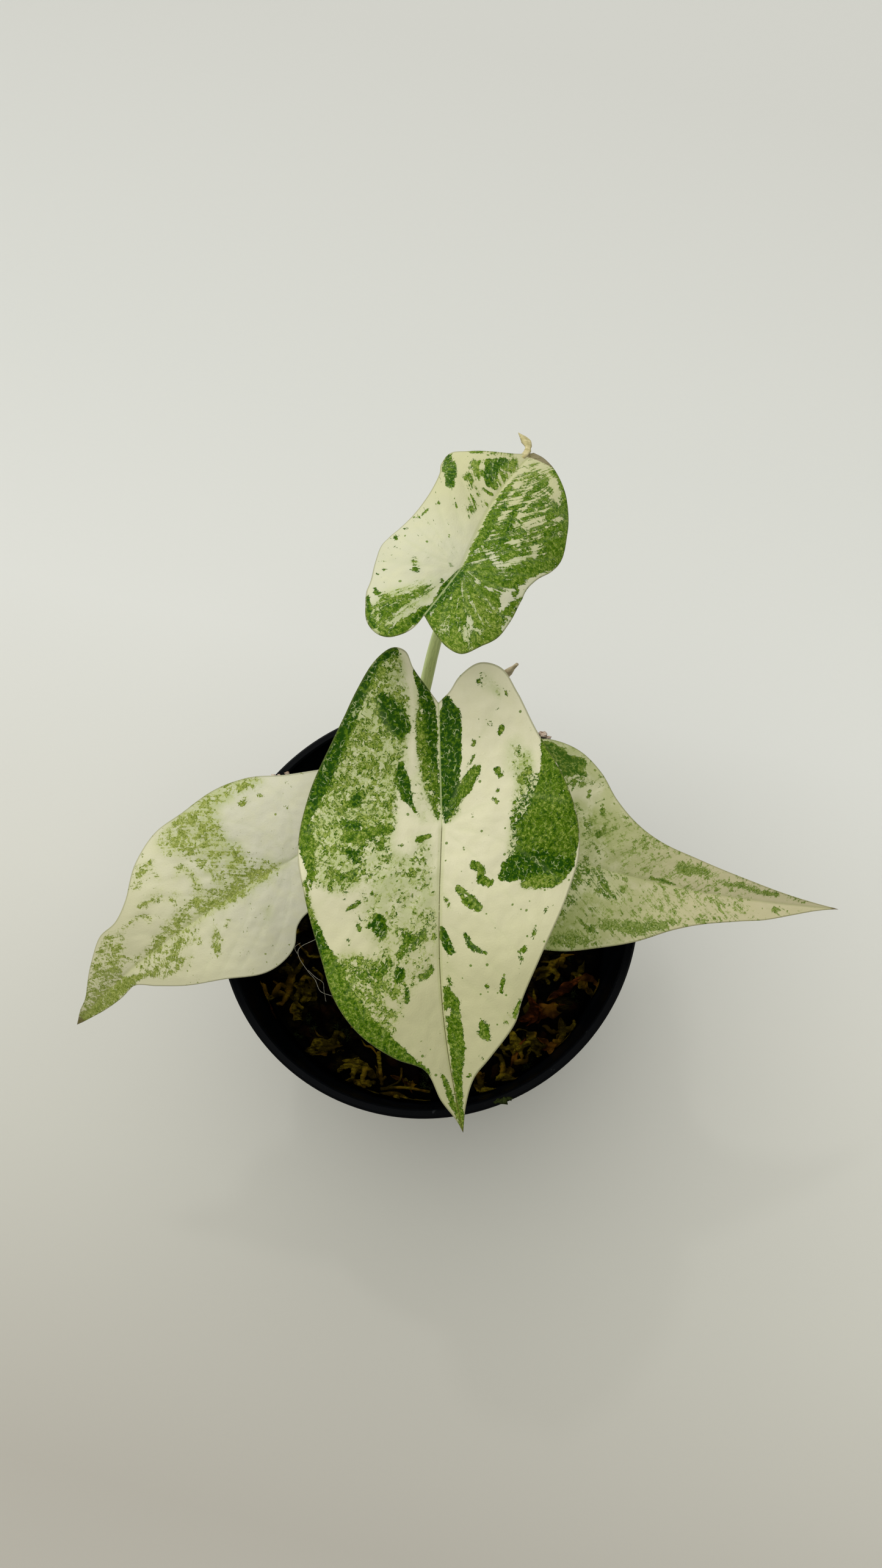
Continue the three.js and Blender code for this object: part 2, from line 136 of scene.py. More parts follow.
def place_node(tree, kind, inputs=None, **settings):
    node = tree.nodes.new(kind)
    for setting, value in settings.items():
        setattr(node, setting, value)
    for socket, value in (inputs or {}).items():
        if isinstance(value, bpy.types.NodeSocket):
            tree.links.new(value, node.inputs[socket])
        else:
            node.inputs[socket].default_value = value
    return node


def calculate(tree, operation, *values):
    inputs = dict(enumerate(values))
    return place_node(tree, "ShaderNodeMath", inputs, operation=operation).outputs[0]


def speckle(tree, vector, scale, detail=2.0, roughness=0.5, distortion=0.0):
    inputs = {"Vector": vector, "Scale": scale, "Detail": detail,
              "Roughness": roughness, "Distortion": distortion}
    return place_node(tree, "ShaderNodeTexNoise", inputs).outputs["Fac"]


def object_point(tree):
    return place_node(tree, "ShaderNodeTexCoord").outputs["Object"]


def add_bump(tree, shader, height, distance):
    bump = place_node(tree, "ShaderNodeBump", {"Height": height, "Distance": distance, "Strength": 1.0})
    tree.links.new(bump.outputs["Normal"], shader.inputs["Normal"])


def floor_material():
    material, tree, shader = new_material("pale_card")
    point = object_point(tree)
    split = place_node(tree, "ShaderNodeSeparateXYZ", {"Vector": point}).outputs
    distance_back = calculate(tree, "MULTIPLY_ADD", split["X"], FLOOR_SLANT, split["Y"])
    inputs = {"Value": distance_back, "From Min": FLOOR_NEAR, "From Max": FLOOR_FAR}
    share = place_node(tree, "ShaderNodeMapRange", inputs).outputs["Result"]
    ramp = place_node(tree, "ShaderNodeValToRGB", {"Fac": share})
    for position, _ in FLOOR_PAINTED_LIGHT[2:]:
        ramp.color_ramp.elements.new(position)
    for element, (position, colour) in zip(ramp.color_ramp.elements, FLOOR_PAINTED_LIGHT):
        element.position = position
        element.color = (*colour, 1)
    tree.links.new(ramp.outputs["Color"], shader.inputs["Base Color"])
    shader.inputs["Roughness"].default_value = 0.85
    add_bump(tree, shader, speckle(tree, point, 900, 3), 0.00002)
    return material


def mesh_object(name, vertices, faces, material):
    mesh = bpy.data.meshes.new(name)
    mesh.from_pydata([tuple(v) for v in vertices], [], [tuple(f) for f in faces])
    mesh.validate()
    mesh.materials.append(material)
    mesh.polygons.foreach_set("use_smooth", [True] * len(mesh.polygons))
    thing = bpy.data.objects.new(name, mesh)
    bpy.context.collection.objects.link(thing)
    return thing


floor_corners = [
    (x * FLOOR_HALF_SIZE, y * FLOOR_HALF_SIZE, 0) for x, y in ((-1, -1), (1, -1), (1, 1), (-1, 1))]
floor = mesh_object("floor", floor_corners, [(0, 1, 2, 3)], floor_material())


# Pot: a thin black polypropylene nursery pot, injection moulded, with a stepped collar,
# a flat lip and drain holes. It is a little out of round, as such thin pots are.
MM = 0.001
POT_SIDES = 192
WIDEST_DIRECTION = math.radians(48)
OUT_OF_ROUND = 0.0125
DRAIN_HOLES = 8
DRAIN_RADIUS = 3 * MM
DRAIN_CIRCLE = 25 * MM
EDGE_ROUNDING = 0.25 * MM
EDGE_ANGLE = math.radians(25)
PUNCH_DEPTH = 6 * MM
NEW_BLACK, WORN_BLACK, SCUFF_GREY = (0.0007, 0.001, 0.0015), (0.002, 0.0027, 0.004), (0.03, 0.032, 0.034)
PLASTIC_SHEEN = 0.033
POT_PROFILE = [
    (0, 0.6), (31, 0.6), (31.6, 0), (34, 0), (35, 1.2), (47.4, 74), (49.1, 74), (49.5, 83), (50, 83.7),
    (50, 84.4), (49.5, 85), (48.3, 85), (47.9, 84.6), (47.6, 83.4), (46.8, 75), (34.4, 2.2), (33.4, 1.4),
    (0, 1.4)]


def fade(tree, value, start, end, low=0.0, high=1.0):
    # Goes smoothly from low to high as the value goes from start to end
    inputs = {"Value": value, "From Min": start, "From Max": end, "To Min": low, "To Max": high}
    kind = "ShaderNodeMapRange"
    return place_node(tree, kind, inputs, interpolation_type="SMOOTHSTEP").outputs["Result"]


def mix_colours(tree, factor, first, second):
    # Sockets 0, 6 and 7 of a Mix node are the factor and the two colours, which may lack alpha
    first, second = ((*c, 1) if isinstance(c, tuple) and len(c) == 3 else c for c in (first, second))
    inputs = {0: factor, 6: first, 7: second}
    return place_node(tree, "ShaderNodeMix", inputs, data_type="RGBA").outputs[2]


def stretch(tree, vector, scale, rotation=(0.0, 0.0, 0.0)):
    inputs = {"Vector": vector, "Scale": scale, "Rotation": rotation}
    return place_node(tree, "ShaderNodeMapping", inputs).outputs[0]


def pot_material():
    material, tree, shader = new_material("black_plastic")
    point = object_point(tree)
    broad = speckle(tree, point, 60, 4, 0.6)
    worn = fade(tree, broad, 0.45, 0.75)
    black = mix_colours(tree, worn, NEW_BLACK, WORN_BLACK)
    scuffs = fade(tree, speckle(tree, stretch(tree, point, (1, 1, 9)), 420, 3, 0.7), 0.66, 0.72, 0, 0.4)
    scuffed = mix_colours(tree, scuffs, black, SCUFF_GREY)
    tree.links.new(scuffed, shader.inputs["Base Color"])
    tree.links.new(fade(tree, broad, 0.3, 0.7, 0.34, 0.5), shader.inputs["Roughness"])
    shader.inputs["Specular IOR Level"].default_value = PLASTIC_SHEEN
    add_bump(tree, shader, speckle(tree, point, 2600, 2), 0.00003)
    return material


def keep_evaluated(thing):
    # The modifiers' result becomes the plain mesh
    depsgraph = bpy.context.evaluated_depsgraph_get()
    result = bpy.data.meshes.new_from_object(thing.evaluated_get(depsgraph))
    thing.modifiers.clear()
    thing.data = result


def lathe_faces(rings, sides):
    # Faces of rings of points that lie between a first and a last point on the axis
    last_ring = 1 + (rings - 1) * sides
    faces = []
    for i in range(sides):
        j = (i + 1) % sides
        faces.append((0, 1 + j, 1 + i))
        for low in range(1, last_ring, sides):
            faces.append((low + i, low + j, low + sides + j, low + sides + i))
        faces.append((last_ring + i, last_ring + j, last_ring + sides))
    return faces


def lathe(name, profile, sides, material):
    # The first and last points of the profile lie on the axis
    vertices = [(0, 0, profile[0][1])]
    for radius, height in profile[1:-1]:
        for i in range(sides):
            angle = 2 * math.pi * i / sides
            vertices.append((radius * math.cos(angle), radius * math.sin(angle), height))
    vertices.append((0, 0, profile[-1][1]))
    return mesh_object(name, vertices, lathe_faces(len(profile) - 2, sides), material)


def out_of_round(point):
    x, y, z = point
    c, s = math.cos(WIDEST_DIRECTION), math.sin(WIDEST_DIRECTION)
    long, short = (c * x + s * y) * (1 + OUT_OF_ROUND), (c * y - s * x) * (1 - OUT_OF_ROUND)
    return (c * long - s * short, s * long + c * short, z)


def build_pot():
    pot = lathe("pot", [(r * MM, z * MM) for r, z in POT_PROFILE], POT_SIDES, pot_material())
    for vertex in pot.data.vertices:
        vertex.co = out_of_round(vertex.co)
    punches = bmesh.new()
    for i in range(DRAIN_HOLES):
        made = bmesh.ops.create_cone(punches, cap_ends=True, segments=32, radius1=DRAIN_RADIUS,
                                     radius2=DRAIN_RADIUS, depth=PUNCH_DEPTH)
        angle = 2 * math.pi * i / DRAIN_HOLES
        shift = (DRAIN_CIRCLE * math.cos(angle), DRAIN_CIRCLE * math.sin(angle), 0)
        bmesh.ops.translate(punches, verts=made["verts"], vec=shift)
    punch_mesh = bpy.data.meshes.new("drain_punches")
    punches.to_mesh(punch_mesh)
    punches.free()
    punch = bpy.data.objects.new("drain_punches", punch_mesh)
    bpy.context.collection.objects.link(punch)
    cut = pot.modifiers.new("drain holes", "BOOLEAN")
    cut.object = punch
    cut.solver = "EXACT"
    soften = pot.modifiers.new("rounded edges", "BEVEL")
    soften.width = EDGE_ROUNDING
    soften.segments = 2
    soften.limit_method = "ANGLE"
    soften.angle_limit = EDGE_ANGLE
    soften.harden_normals = True
    keep_evaluated(pot)
    bpy.data.objects.remove(punch)
    return pot


pot = build_pot()
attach(pot, "root")
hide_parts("pot")


# Substrate: coarse bark mix, dark when moist and darkened to nearly black as painted shade
# deep in the pot, with ochre leaf litter, red-brown bark strips, moss and fine white root hairs
# on top. It is poured in, and fills the pot to about 20 mm below the rim.
SOIL_LEVEL = 64
SOIL_ROUGHNESS = 1.3
SOIL_FALL = 1.5
POT_RADIUS = 50
BED_RADIUS = 43.6
BED_FOOT = 1.8
BED_FOOT_RADIUS = 33
BED_CRUMBS = 1.1
WALL_FOOT, WALL_SLOPE = 33.25, 0.17
DENSEST = 400000.0
PHOTO_WIDTH = 1445


def seen_at(column, row, height):
    # The point at that height, in millimetres, that the photograph shows at that pixel
    tilt = math.radians(CAMERA_TILT_DEGREES)
    forward = np.array((0, math.sin(tilt), -math.cos(tilt)))
    upward = np.array((0, math.cos(tilt), math.sin(tilt)))
    right = (column - PHOTO_WIDTH / 2) / FOCAL_LENGTH_PIXELS
    rise = (PHOTO_LONG_SIDE / 2 - row) / FOCAL_LENGTH_PIXELS
    ray = forward + np.array((right, 0, 0)) + upward * rise
    eye = np.array(CAMERA_PLACE) / MM
    return eye + ray * (height - eye[2]) / ray[2]


def soil_height(x, y):
    lumps = math.sin(x * 0.42 + 1) * math.cos(y * 0.37) + 0.6 * math.sin(x * 0.9 + y * 0.7 + 2)
    return SOIL_LEVEL + SOIL_ROUGHNESS * lumps - SOIL_FALL * math.hypot(x, y) / POT_RADIUS


def earthy_material(name, dark, light, scale, roughness=0.95, relief=0.0002, damp=0.02, tint=None):
    material, tree, shader = new_material(name)
    point = object_point(tree)
    lumps = speckle(tree, point, scale, 6, 0.7)
    fibres = stretch(tree, point, (1, 3.5, 1), (0.3, 0.2, 0.5))
    streaks = speckle(tree, fibres, scale * 1.7, 4, 0.65)
    share = fade(tree, calculate(tree, "ADD", lumps, streaks), 0.8, 1.25)
    colour = mix_colours(tree, share, dark, light)
    if tint:
        # Whole areas that are tinted, and others darkened nearly black as painted shade
        tinted = fade(tree, speckle(tree, point, 150, 3), 0.47, 0.62, 0, 0.8)
        painted_shade = fade(tree, speckle(tree, point, 210, 2), 0.42, 0.56, 0.85, 0)
        colour = mix_colours(tree, painted_shade, mix_colours(tree, tinted, colour, tint), dark)
    tree.links.new(colour, shader.inputs["Base Color"])
    shader.inputs["Roughness"].default_value = roughness
    shader.inputs["Specular IOR Level"].default_value = damp
    add_bump(tree, shader, streaks, relief)
    return material


def joined(name, parts, material):
    # One object from several (vertices, faces) pairs in millimetres
    vertices, faces = [], []
    for points, polygons in parts:
        faces += [tuple(len(vertices) + k for k in polygon) for polygon in polygons]
        vertices += [tuple(point) for point in np.asarray(points) * MM]
    return mesh_object(name, vertices, faces, material)


def bed_part(sides=200, rings=60):
    vertices = [(0, 0, soil_height(0, 0))]
    for ring in range(1, rings + 1):
        for i in range(sides):
            angle = 2 * math.pi * i / sides
            x, y = (BED_RADIUS * ring / rings * f(angle) for f in (math.cos, math.sin))
            crumbs = BED_CRUMBS * noise.fractal((x * 0.5, y * 0.5, 3), 0.7, 2.1, 4)
            vertices.append((x, y, soil_height(x, y) + crumbs * min(1, (rings - ring) / 4)))
    for i in range(sides):
        angle = 2 * math.pi * i / sides
        vertices.append((BED_FOOT_RADIUS * math.cos(angle), BED_FOOT_RADIUS * math.sin(angle), BED_FOOT))
    vertices.append((0, 0, BED_FOOT))
    outward_faces = [(first, *others[::-1]) for first, *others in lathe_faces(rings + 1, sides)]
    return [out_of_round(v) for v in vertices], outward_faces


def smooth_line(points, per_step):
    # A centripetal Catmull-Rom curve through the points
    points = np.array(points, float)
    ends = np.vstack([2 * points[0] - points[1], points, 2 * points[-1] - points[-2]])
    line = []
    for i in range(len(points) - 1):
        a, b, c, d = ends[i:i + 4]
        ab, bc, cd = (max(np.linalg.norm(q - p), 1e-6) ** 0.5 for p, q in ((a, b), (b, c), (c, d)))
        tangent_b = ((b - a) / ab - (c - a) / (ab + bc) + (c - b) / bc) * bc
        tangent_c = ((c - b) / bc - (d - b) / (bc + cd) + (d - c) / cd) * bc
        t = np.arange(per_step)[:, None] / per_step
        line.append((2 * t ** 3 - 3 * t ** 2 + 1) * b + (t ** 3 - 2 * t ** 2 + t) * tangent_b
                    + (3 * t ** 2 - 2 * t ** 3) * c + (t ** 3 - t ** 2) * tangent_c)
    return np.vstack(line + [points[-1:]])


def evenly(line, count):
    # The same line with points at even distances
    lengths = np.concatenate([[0], np.cumsum(np.linalg.norm(np.diff(line, axis=0), axis=1))])
    wanted = np.linspace(0, lengths[-1], count)
    return np.stack([np.interp(wanted, lengths, line[:, k]) for k in range(line.shape[1])], -1)


def along_route(route, count):
    # Evenly spaced centres along the route, each with two directions square to it
    centres = evenly(smooth_line(route, per_step=24), count)
    ahead = np.gradient(centres, axis=0)
    ahead /= np.linalg.norm(ahead, axis=1, keepdims=True)
    side = np.cross(ahead[0], (0.1, 1, 0.05))
    sides, others = [], []
    for direction in ahead:
        side = side - direction * (side @ direction)
        side /= np.linalg.norm(side)
        sides.append(side)
        others.append(np.cross(direction, side))
    return centres, ahead, np.array(sides), np.array(others)


def closed_tube_faces(steps, sides):
    # Faces of a tube of rings whose two end points come last
    foot = (steps + 1) * sides
    faces = []
    for i in range(sides):
        j = (i + 1) % sides
        faces.append((foot, j, i))
        faces.append((foot + 1, steps * sides + i, steps * sides + j))
        for a in range(0, steps * sides, sides):
            faces.append((a + i, a + j, a + sides + j, a + sides + i))
    return faces


def tube_part(route, radius, sides=8, steps=24, knobbly=0.0, seed=0):
    # A round strand, thinning from its first radius to its second, with closed ends
    centres, ahead, side, other = along_route(route, steps + 1)
    vertices = []
    for step in range(steps + 1):
        size = radius[0] + (radius[1] - radius[0]) * step / steps
        for i in range(sides):
            angle = 2 * math.pi * i / sides
            c, s = math.cos(angle), math.sin(angle)
            bump = 1 + knobbly * noise.noise((step * 0.45, c + seed * 7, s))
            vertices.append(centres[step] + size * bump * (side[step] * c + other[step] * s))
    vertices += [centres[0] - ahead[0] * radius[0] * 0.4, centres[-1] + ahead[-1] * radius[1] * 0.4]
    return vertices, closed_tube_faces(steps, sides)


def strip_part(route, widest, curl, thickness=0.5, ragged=0.35, seed=0, steps=26, columns=8):
    # A curled flake: a strip that follows the route, with ragged edges and narrow ends
    centres, ahead, _, _ = along_route(route, steps + 1)
    top, bottom = [], []
    for step in range(steps + 1):
        share = step / steps
        side = np.cross(ahead[step], (0, 0, 1))
        side /= np.linalg.norm(side)
        lift = np.cross(side, ahead[step])
        half = widest * (0.1 + min(1, 3 * share, 3 * (1 - share)) ** 0.8)
        half *= 1 + 0.8 * noise.noise((share * 4.5, seed * 2.7, 8))
        for column in range(columns + 1):
            t = 2 * column / columns - 1
            tear = noise.fractal((share * 5, 3 * math.copysign(1, t), seed * 5.3), 0.7, 2.3, 2)
            edge = max(0.3, 1 + 1.5 * ragged * tear * abs(t))
            turn = curl * t
            across = half * edge * (math.sin(turn) / curl if abs(curl) > 0.01 else t)
            fall = half * (1 - math.cos(turn)) / curl if abs(curl) > 0.01 else 0
            dent = 0.9 * widest * noise.noise((share * 5, t * 1.3, seed * 3.1))
            middle = centres[step] + side * across + lift * (dent - fall)
            top.append(middle + lift * thickness / 2)
            bottom.append(middle - lift * thickness / 2)
    row, count = columns + 1, len(top)
    faces = []
    for step in range(steps):
        for column in range(columns):
            a = step * row + column
            faces.append((a, a + 1, a + row + 1, a + row))
            faces.append((count + a, count + a + row, count + a + row + 1, count + a + 1))
        left, right = step * row, step * row + columns
        faces.append((left, left + row, count + left + row, count + left))
        faces.append((right, count + right, count + right + row, right + row))
    for column in range(columns):
        last = steps * row + column
        faces.append((column, count + column, count + column + 1, column + 1))
        faces.append((last, last + 1, count + last + 1, count + last))
    return top + bottom, faces


def on_bed(pixels, rises):
    # A route over the bed from pixels of the photograph and heights above the soil level
    return [seen_at(column, row, SOIL_LEVEL + rise) for (column, row), rise in zip(pixels, rises)]


def join_vector(tree, x, y, z):
    return place_node(tree, "ShaderNodeCombineXYZ", {"X": x, "Y": y, "Z": z}).outputs[0]


def add_sockets(tree, kind, in_out, *names):
    for name in names:
        tree.interface.new_socket(name, in_out=in_out, socket_type="NodeSocket" + kind)


def scatter_tree():
    # Stands pieces of a collection on a surface, turned and scaled by seeded draws
    tree = bpy.data.node_groups.new("scatter over bed", "GeometryNodeTree")
    add_sockets(tree, "Geometry", "INPUT", "Surface")
    add_sockets(tree, "Collection", "INPUT", "Pieces")
    add_sockets(tree, "Float", "INPUT", "Gap", "Smallest", "Largest", "Tilt", "Rise")
    add_sockets(tree, "Int", "INPUT", "Seed")
    add_sockets(tree, "Material", "INPUT", "Material")
    add_sockets(tree, "Geometry", "OUTPUT", "Geometry")
    given = tree.nodes.new("NodeGroupInput").outputs
    seed, tilt = given["Seed"], given["Tilt"]
    points = place_node(tree, "GeometryNodeDistributePointsOnFaces", {
        "Mesh": given["Surface"], "Distance Min": given["Gap"], "Density Max": DENSEST, "Seed": seed},
        distribute_method="POISSON").outputs["Points"]
    rise = join_vector(tree, 0.0, 0.0, given["Rise"])
    points = place_node(tree, "GeometryNodeSetPosition", {"Geometry": points, "Offset": rise}).outputs[0]
    pieces = place_node(tree, "GeometryNodeCollectionInfo", {
        "Collection": given["Pieces"], "Separate Children": True, "Reset Children": True}).outputs[0]
    lean = calculate(tree, "MULTIPLY", tilt, -1.0)
    least, most = join_vector(tree, lean, lean, 0.0), join_vector(tree, tilt, tilt, 2 * math.pi)
    turns = {0: least, 1: most, "Seed": seed}
    turn = place_node(tree, "FunctionNodeRandomValue", turns, data_type="FLOAT_VECTOR").outputs[0]
    sizes = {2: given["Smallest"], 3: given["Largest"], "Seed": seed}
    size = place_node(tree, "FunctionNodeRandomValue", sizes, data_type="FLOAT").outputs[1]
    standing = place_node(tree, "GeometryNodeInstanceOnPoints", {
        "Points": points, "Instance": pieces, "Pick Instance": True, "Rotation": turn, "Scale": size})
    real = place_node(tree, "GeometryNodeRealizeInstances", {"Geometry": standing.outputs[0]})
    done = place_node(tree, "GeometryNodeSetMaterial", {
        "Geometry": real.outputs[0], "Material": given["Material"]})
    tree.links.new(done.outputs[0], tree.nodes.new("NodeGroupOutput").inputs[0])
    return tree


bed_scatter = scatter_tree()


def scatter(name, surface_parts, patterns, material, **values):
    # The patterns are hidden objects that the tree copies; the result is one plain mesh
    collection = bpy.data.collections.new(name + "_patterns")
    for k, part in enumerate(patterns):
        pattern = joined(f"{name}_pattern_{k}", [part], material)
        bpy.context.collection.objects.unlink(pattern)
        collection.objects.link(pattern)
    thing = joined(name, surface_parts, material)
    modifier = thing.modifiers.new("scatter", "NODES")
    modifier.node_group = bed_scatter
    values = {**values, "Pieces": collection, "Material": material}
    for item in bed_scatter.interface.items_tree:
        if item.name in values:
            modifier[item.identifier] = values[item.name]
    keep_evaluated(thing)
    for pattern in list(collection.objects):
        bpy.data.objects.remove(pattern)
    bpy.data.collections.remove(collection)
    return thing


def ring_part(inner, outer, centre=(0, 0), sides=60):
    # A flat ring that follows the bed, for the scatter to stand pieces on
    vertices = []
    for radius in (inner, (inner + outer) / 2, outer):
        for i in range(sides):
            angle = 2 * math.pi * i / sides
            x, y = centre[0] + radius * math.cos(angle), centre[1] + radius * math.sin(angle)
            vertices.append((x, y, soil_height(x, y)))
    faces = []
    for ring in range(2):
        for i in range(sides):
            j = (i + 1) % sides
            a = ring * sides
            faces.append((a + i, a + sides + i, a + sides + j, a + j))
    return vertices, faces


def lump_part(shape):
    # A ball of radius 1 whose points go where the shape says
    ball = bmesh.new()
    bmesh.ops.create_icosphere(ball, subdivisions=2, radius=1)
    vertices = [shape(vertex.co) for vertex in ball.verts]
    faces = [tuple(v.index for v in face.verts) for face in ball.faces]
    ball.free()
    return vertices, faces


def chip_part(seed):
    # A splinter of bark, about 8 mm long
    length, width, depth = 4.2 + 1.5 * noise.random(), 2.2 + noise.random(), 0.9 + 0.4 * noise.random()

    def shape(point):
        x, y, z = point
        dent = 1 + 0.55 * noise.noise((x * 1.3 + seed * 9, y * 1.3, z * 1.3))
        flaking = 1 + 0.4 * noise.noise((x * 3, y * 3, seed))
        return x * length * dent, y * width * dent, z * depth * flaking

    return lump_part(shape)


# The peat and the bark are nearly black: partly as moist bark mix, partly as painted shade deep in the pot
peat = earthy_material("moist_shaded_peat", (0.0002, 0.0002, 0.0001), (0.0016, 0.0012, 0.0004), 700)
dark_bark = earthy_material("dark_bark", (0.0003, 0.0002, 0.0001), (0.009, 0.0065, 0.001), 420,
                            tint=(0.006, 0.0016, 0.0004))
litter = earthy_material("leaf_litter", (0.010, 0.007, 0.0003), (0.126, 0.092, 0.005), 300, 0.8, 0.0004,
                         tint=(0.10, 0.048, 0.003))
red_bark = earthy_material("red_bark", (0.008, 0.002, 0.0004), (0.09, 0.022, 0.003), 300, 0.75, 0.0004,
                           tint=(0.10, 0.045, 0.004))
moss_green = earthy_material("moss", (0.006, 0.009, 0.002), (0.03, 0.04, 0.010), 900)
root_white = earthy_material("root_hair", (0.26, 0.24, 0.18), (0.50, 0.48, 0.40), 900, 0.6, 0.00002)

noise.seed_set(5)
bed = joined("substrate_bed", [bed_part()], peat)
bark = scatter("bark_chips", [ring_part(2, 41)], [chip_part(k) for k in range(6)], dark_bark,
               Gap=0.0042, Smallest=0.45, Largest=1.05, Tilt=0.6, Rise=0.0003, Seed=4)
curls = [
    ([(-4, 0, 0), (-1.2, 0.6, 1.1), (1.5, -0.4, 1.3), (4.2, 0.8, 0.2)], 1.1, 1.3),
    ([(-3, 0, 0), (-1, 1.2, 0.6), (1, 1.4, 1.4), (2.4, 0, 2)], 1.5, -1.0),
    ([(-5, 1, 0), (-2, 0, 1), (1, 0.6, 0.6), (5, -1, 0.8)], 0.6, 1.6)]
curl_parts = [strip_part(*curl, seed=k + 1, steps=12, columns=4) for k, curl in enumerate(curls)]
small_litter = scatter("small_litter", [ring_part(12, 40)], curl_parts, litter,
                       Gap=0.0062, Smallest=0.45, Largest=1.1, Tilt=0.5, Rise=0.0008, Seed=9)

# Litter, strips and strands that the photograph shows one by one: pixels, heights above the
# soil level, and then the width and curl of a flake or the radii of a strand
LITTER_FLAKES = [
    ([(470, 1578), (478, 1598), (474, 1620), (482, 1640)], (1, 2.5, 2, 1), 1.5, 1.2),
    ([(476, 1612), (492, 1618), (503, 1632), (496, 1644)], (1.5, 2.5, 2, 0.6), 1.3, -1.1),
    ([(505, 1606), (512, 1620), (517, 1634)], (1, 2, 0.5), 1.0, 1.0),
    ([(462, 1612), (450, 1628), (436, 1640), (430, 1652)], (2, 2.2, 1.6, 1), 0.8, 1.4),
    ([(495, 1728), (520, 1716), (546, 1708), (560, 1712)], (0.6, 2, 2.4, 1), 2.0, 0.9),
    ([(562, 1738), (580, 1744), (600, 1750), (614, 1766)], (1.2, 2.4, 2, 0.4), 2.2, 1.1),
    ([(572, 1758), (584, 1774), (598, 1790), (618, 1796)], (1, 1.2, 1, 0.6), 0.7, 1.5),
    ([(612, 1793), (650, 1793), (680, 1806), (706, 1812)], (0.8, 1, 0.9, 0.4), 0.9, 1.4),
    ([(838, 1688), (846, 1712), (842, 1740)], (1, 2.2, 0.8), 1.6, 1.2),
    ([(862, 1690), (876, 1706), (884, 1728)], (1.4, 2.4, 1), 1.7, -0.9),
    ([(918, 1668), (922, 1690), (912, 1712)], (1, 2, 0.8), 1.6, 1.1),
    ([(812, 1770), (824, 1760), (838, 1750)], (0.6, 1.4, 0.8), 1.2, 1.0),
    ([(776, 1778), (788, 1784), (800, 1796)], (0.8, 1.6, 0.6), 1.0, 1.3),
    ([(878, 1606), (900, 1588), (924, 1566)], (0.8, 1.8, 0.8), 1.3, 1.0),
    ([(944, 1606), (958, 1616), (972, 1634)], (1, 2, 1), 1.2, -1.2),
]
RED_STRIPS = [
    ([(962, 1597), (940, 1610), (920, 1622), (896, 1640)], (2.4, 3.2, 2.6, 1.4), 1.1, 1.0),
    ([(863, 1628), (876, 1650), (878, 1666), (862, 1682)], (2.2, 3, 2.6, 1.2), 0.9, 1.2),
    ([(898, 1646), (876, 1660), (852, 1670)], (1.4, 2, 1.4), 1.1, 0.9),
    ([(432, 1652), (428, 1670), (428, 1690)], (1, 1.6, 1.2), 0.7, 1.2),
    ([(880, 1700), (900, 1716), (908, 1736)], (0.8, 1.4, 0.6), 0.9, 1.0),
    ([(936, 1612), (958, 1602), (972, 1606), (984, 1622)], (2.6, 3, 2.6, 1.2), 0.8, 1.2),
    ([(850, 1672), (872, 1664), (902, 1654), (930, 1648)], (0.6, 1.2, 1.2, 0.6), 1.5, 0.8),
    ([(862, 1700), (846, 1726), (836, 1752)], (1.6, 2, 0.8), 0.8, 1.3),
    ([(926, 1700), (906, 1712), (884, 1722)], (0.8, 1.4, 0.8), 0.8, 1.2),
    ([(640, 1762), (664, 1772), (676, 1792)], (0.6, 1.2, 0.6), 0.6, 1.2),
]
STRANDS = [
    ([(620, 1724), (622, 1748), (626, 1778)], (1.4, 2.6, 1.6), (0.55, 0.4)),
    ([(632, 1764), (626, 1770), (624, 1776)], (2.6, 2.2, 1.8), (0.35, 0.3)),
    ([(624, 1784), (662, 1782), (704, 1789)], (1, 1.6, 1), (0.45, 0.3)),
    ([(658, 1750), (655, 1770), (633, 1782)], (1, 1.8, 0.8), (0.3, 0.2)),
    ([(512, 1586), (528, 1602), (520, 1618)], (1, 1.8, 0.6), (0.4, 0.3)),
]
ROOT_HAIRS = [
    ([(517, 1539), (490, 1554), (489, 1566), (505, 1592), (516, 1605), (525, 1624), (544, 1632)],
     (3, 4, 4.6, 4.4, 3.6, 3, 2), (0.085, 0.06)),
    ([(505, 1590), (518, 1602), (529, 1610), (531, 1624), (534, 1641)],
     (4.2, 3.6, 3, 2.2, 1.4), (0.065, 0.04)),
    ([(489, 1566), (483, 1552), (492, 1545)], (4.5, 3.8, 3), (0.05, 0.04)),
]


def shoots(pixels, rises, seed):
    # Three torn side shoots of a flake, soft and bent
    route = on_bed(pixels, rises)
    parts = []
    for k in range(3):
        start = np.array(route[min(1 + k % 2, len(route) - 1)])
        angle = 2 * math.pi * noise.random()
        step = np.array((math.cos(angle), math.sin(angle), 0)) * (2.5 + 3 * noise.random())
        bend = np.array((-math.sin(angle), math.cos(angle), 0)) * (2.8 * noise.random() - 1.4)
        shoot = [start - (0, 0, 0.4), start + step * 0.35 + bend * 0.7 + (0, 0, 0.6),
                 start + step * 0.75 + bend + (0, 0, 0.4), start + step - bend * 0.3 - (0, 0, 0.5)]
        parts.append(tube_part(shoot, (0.85, 0.4), steps=16, knobbly=0.7, seed=seed + k))
    return parts


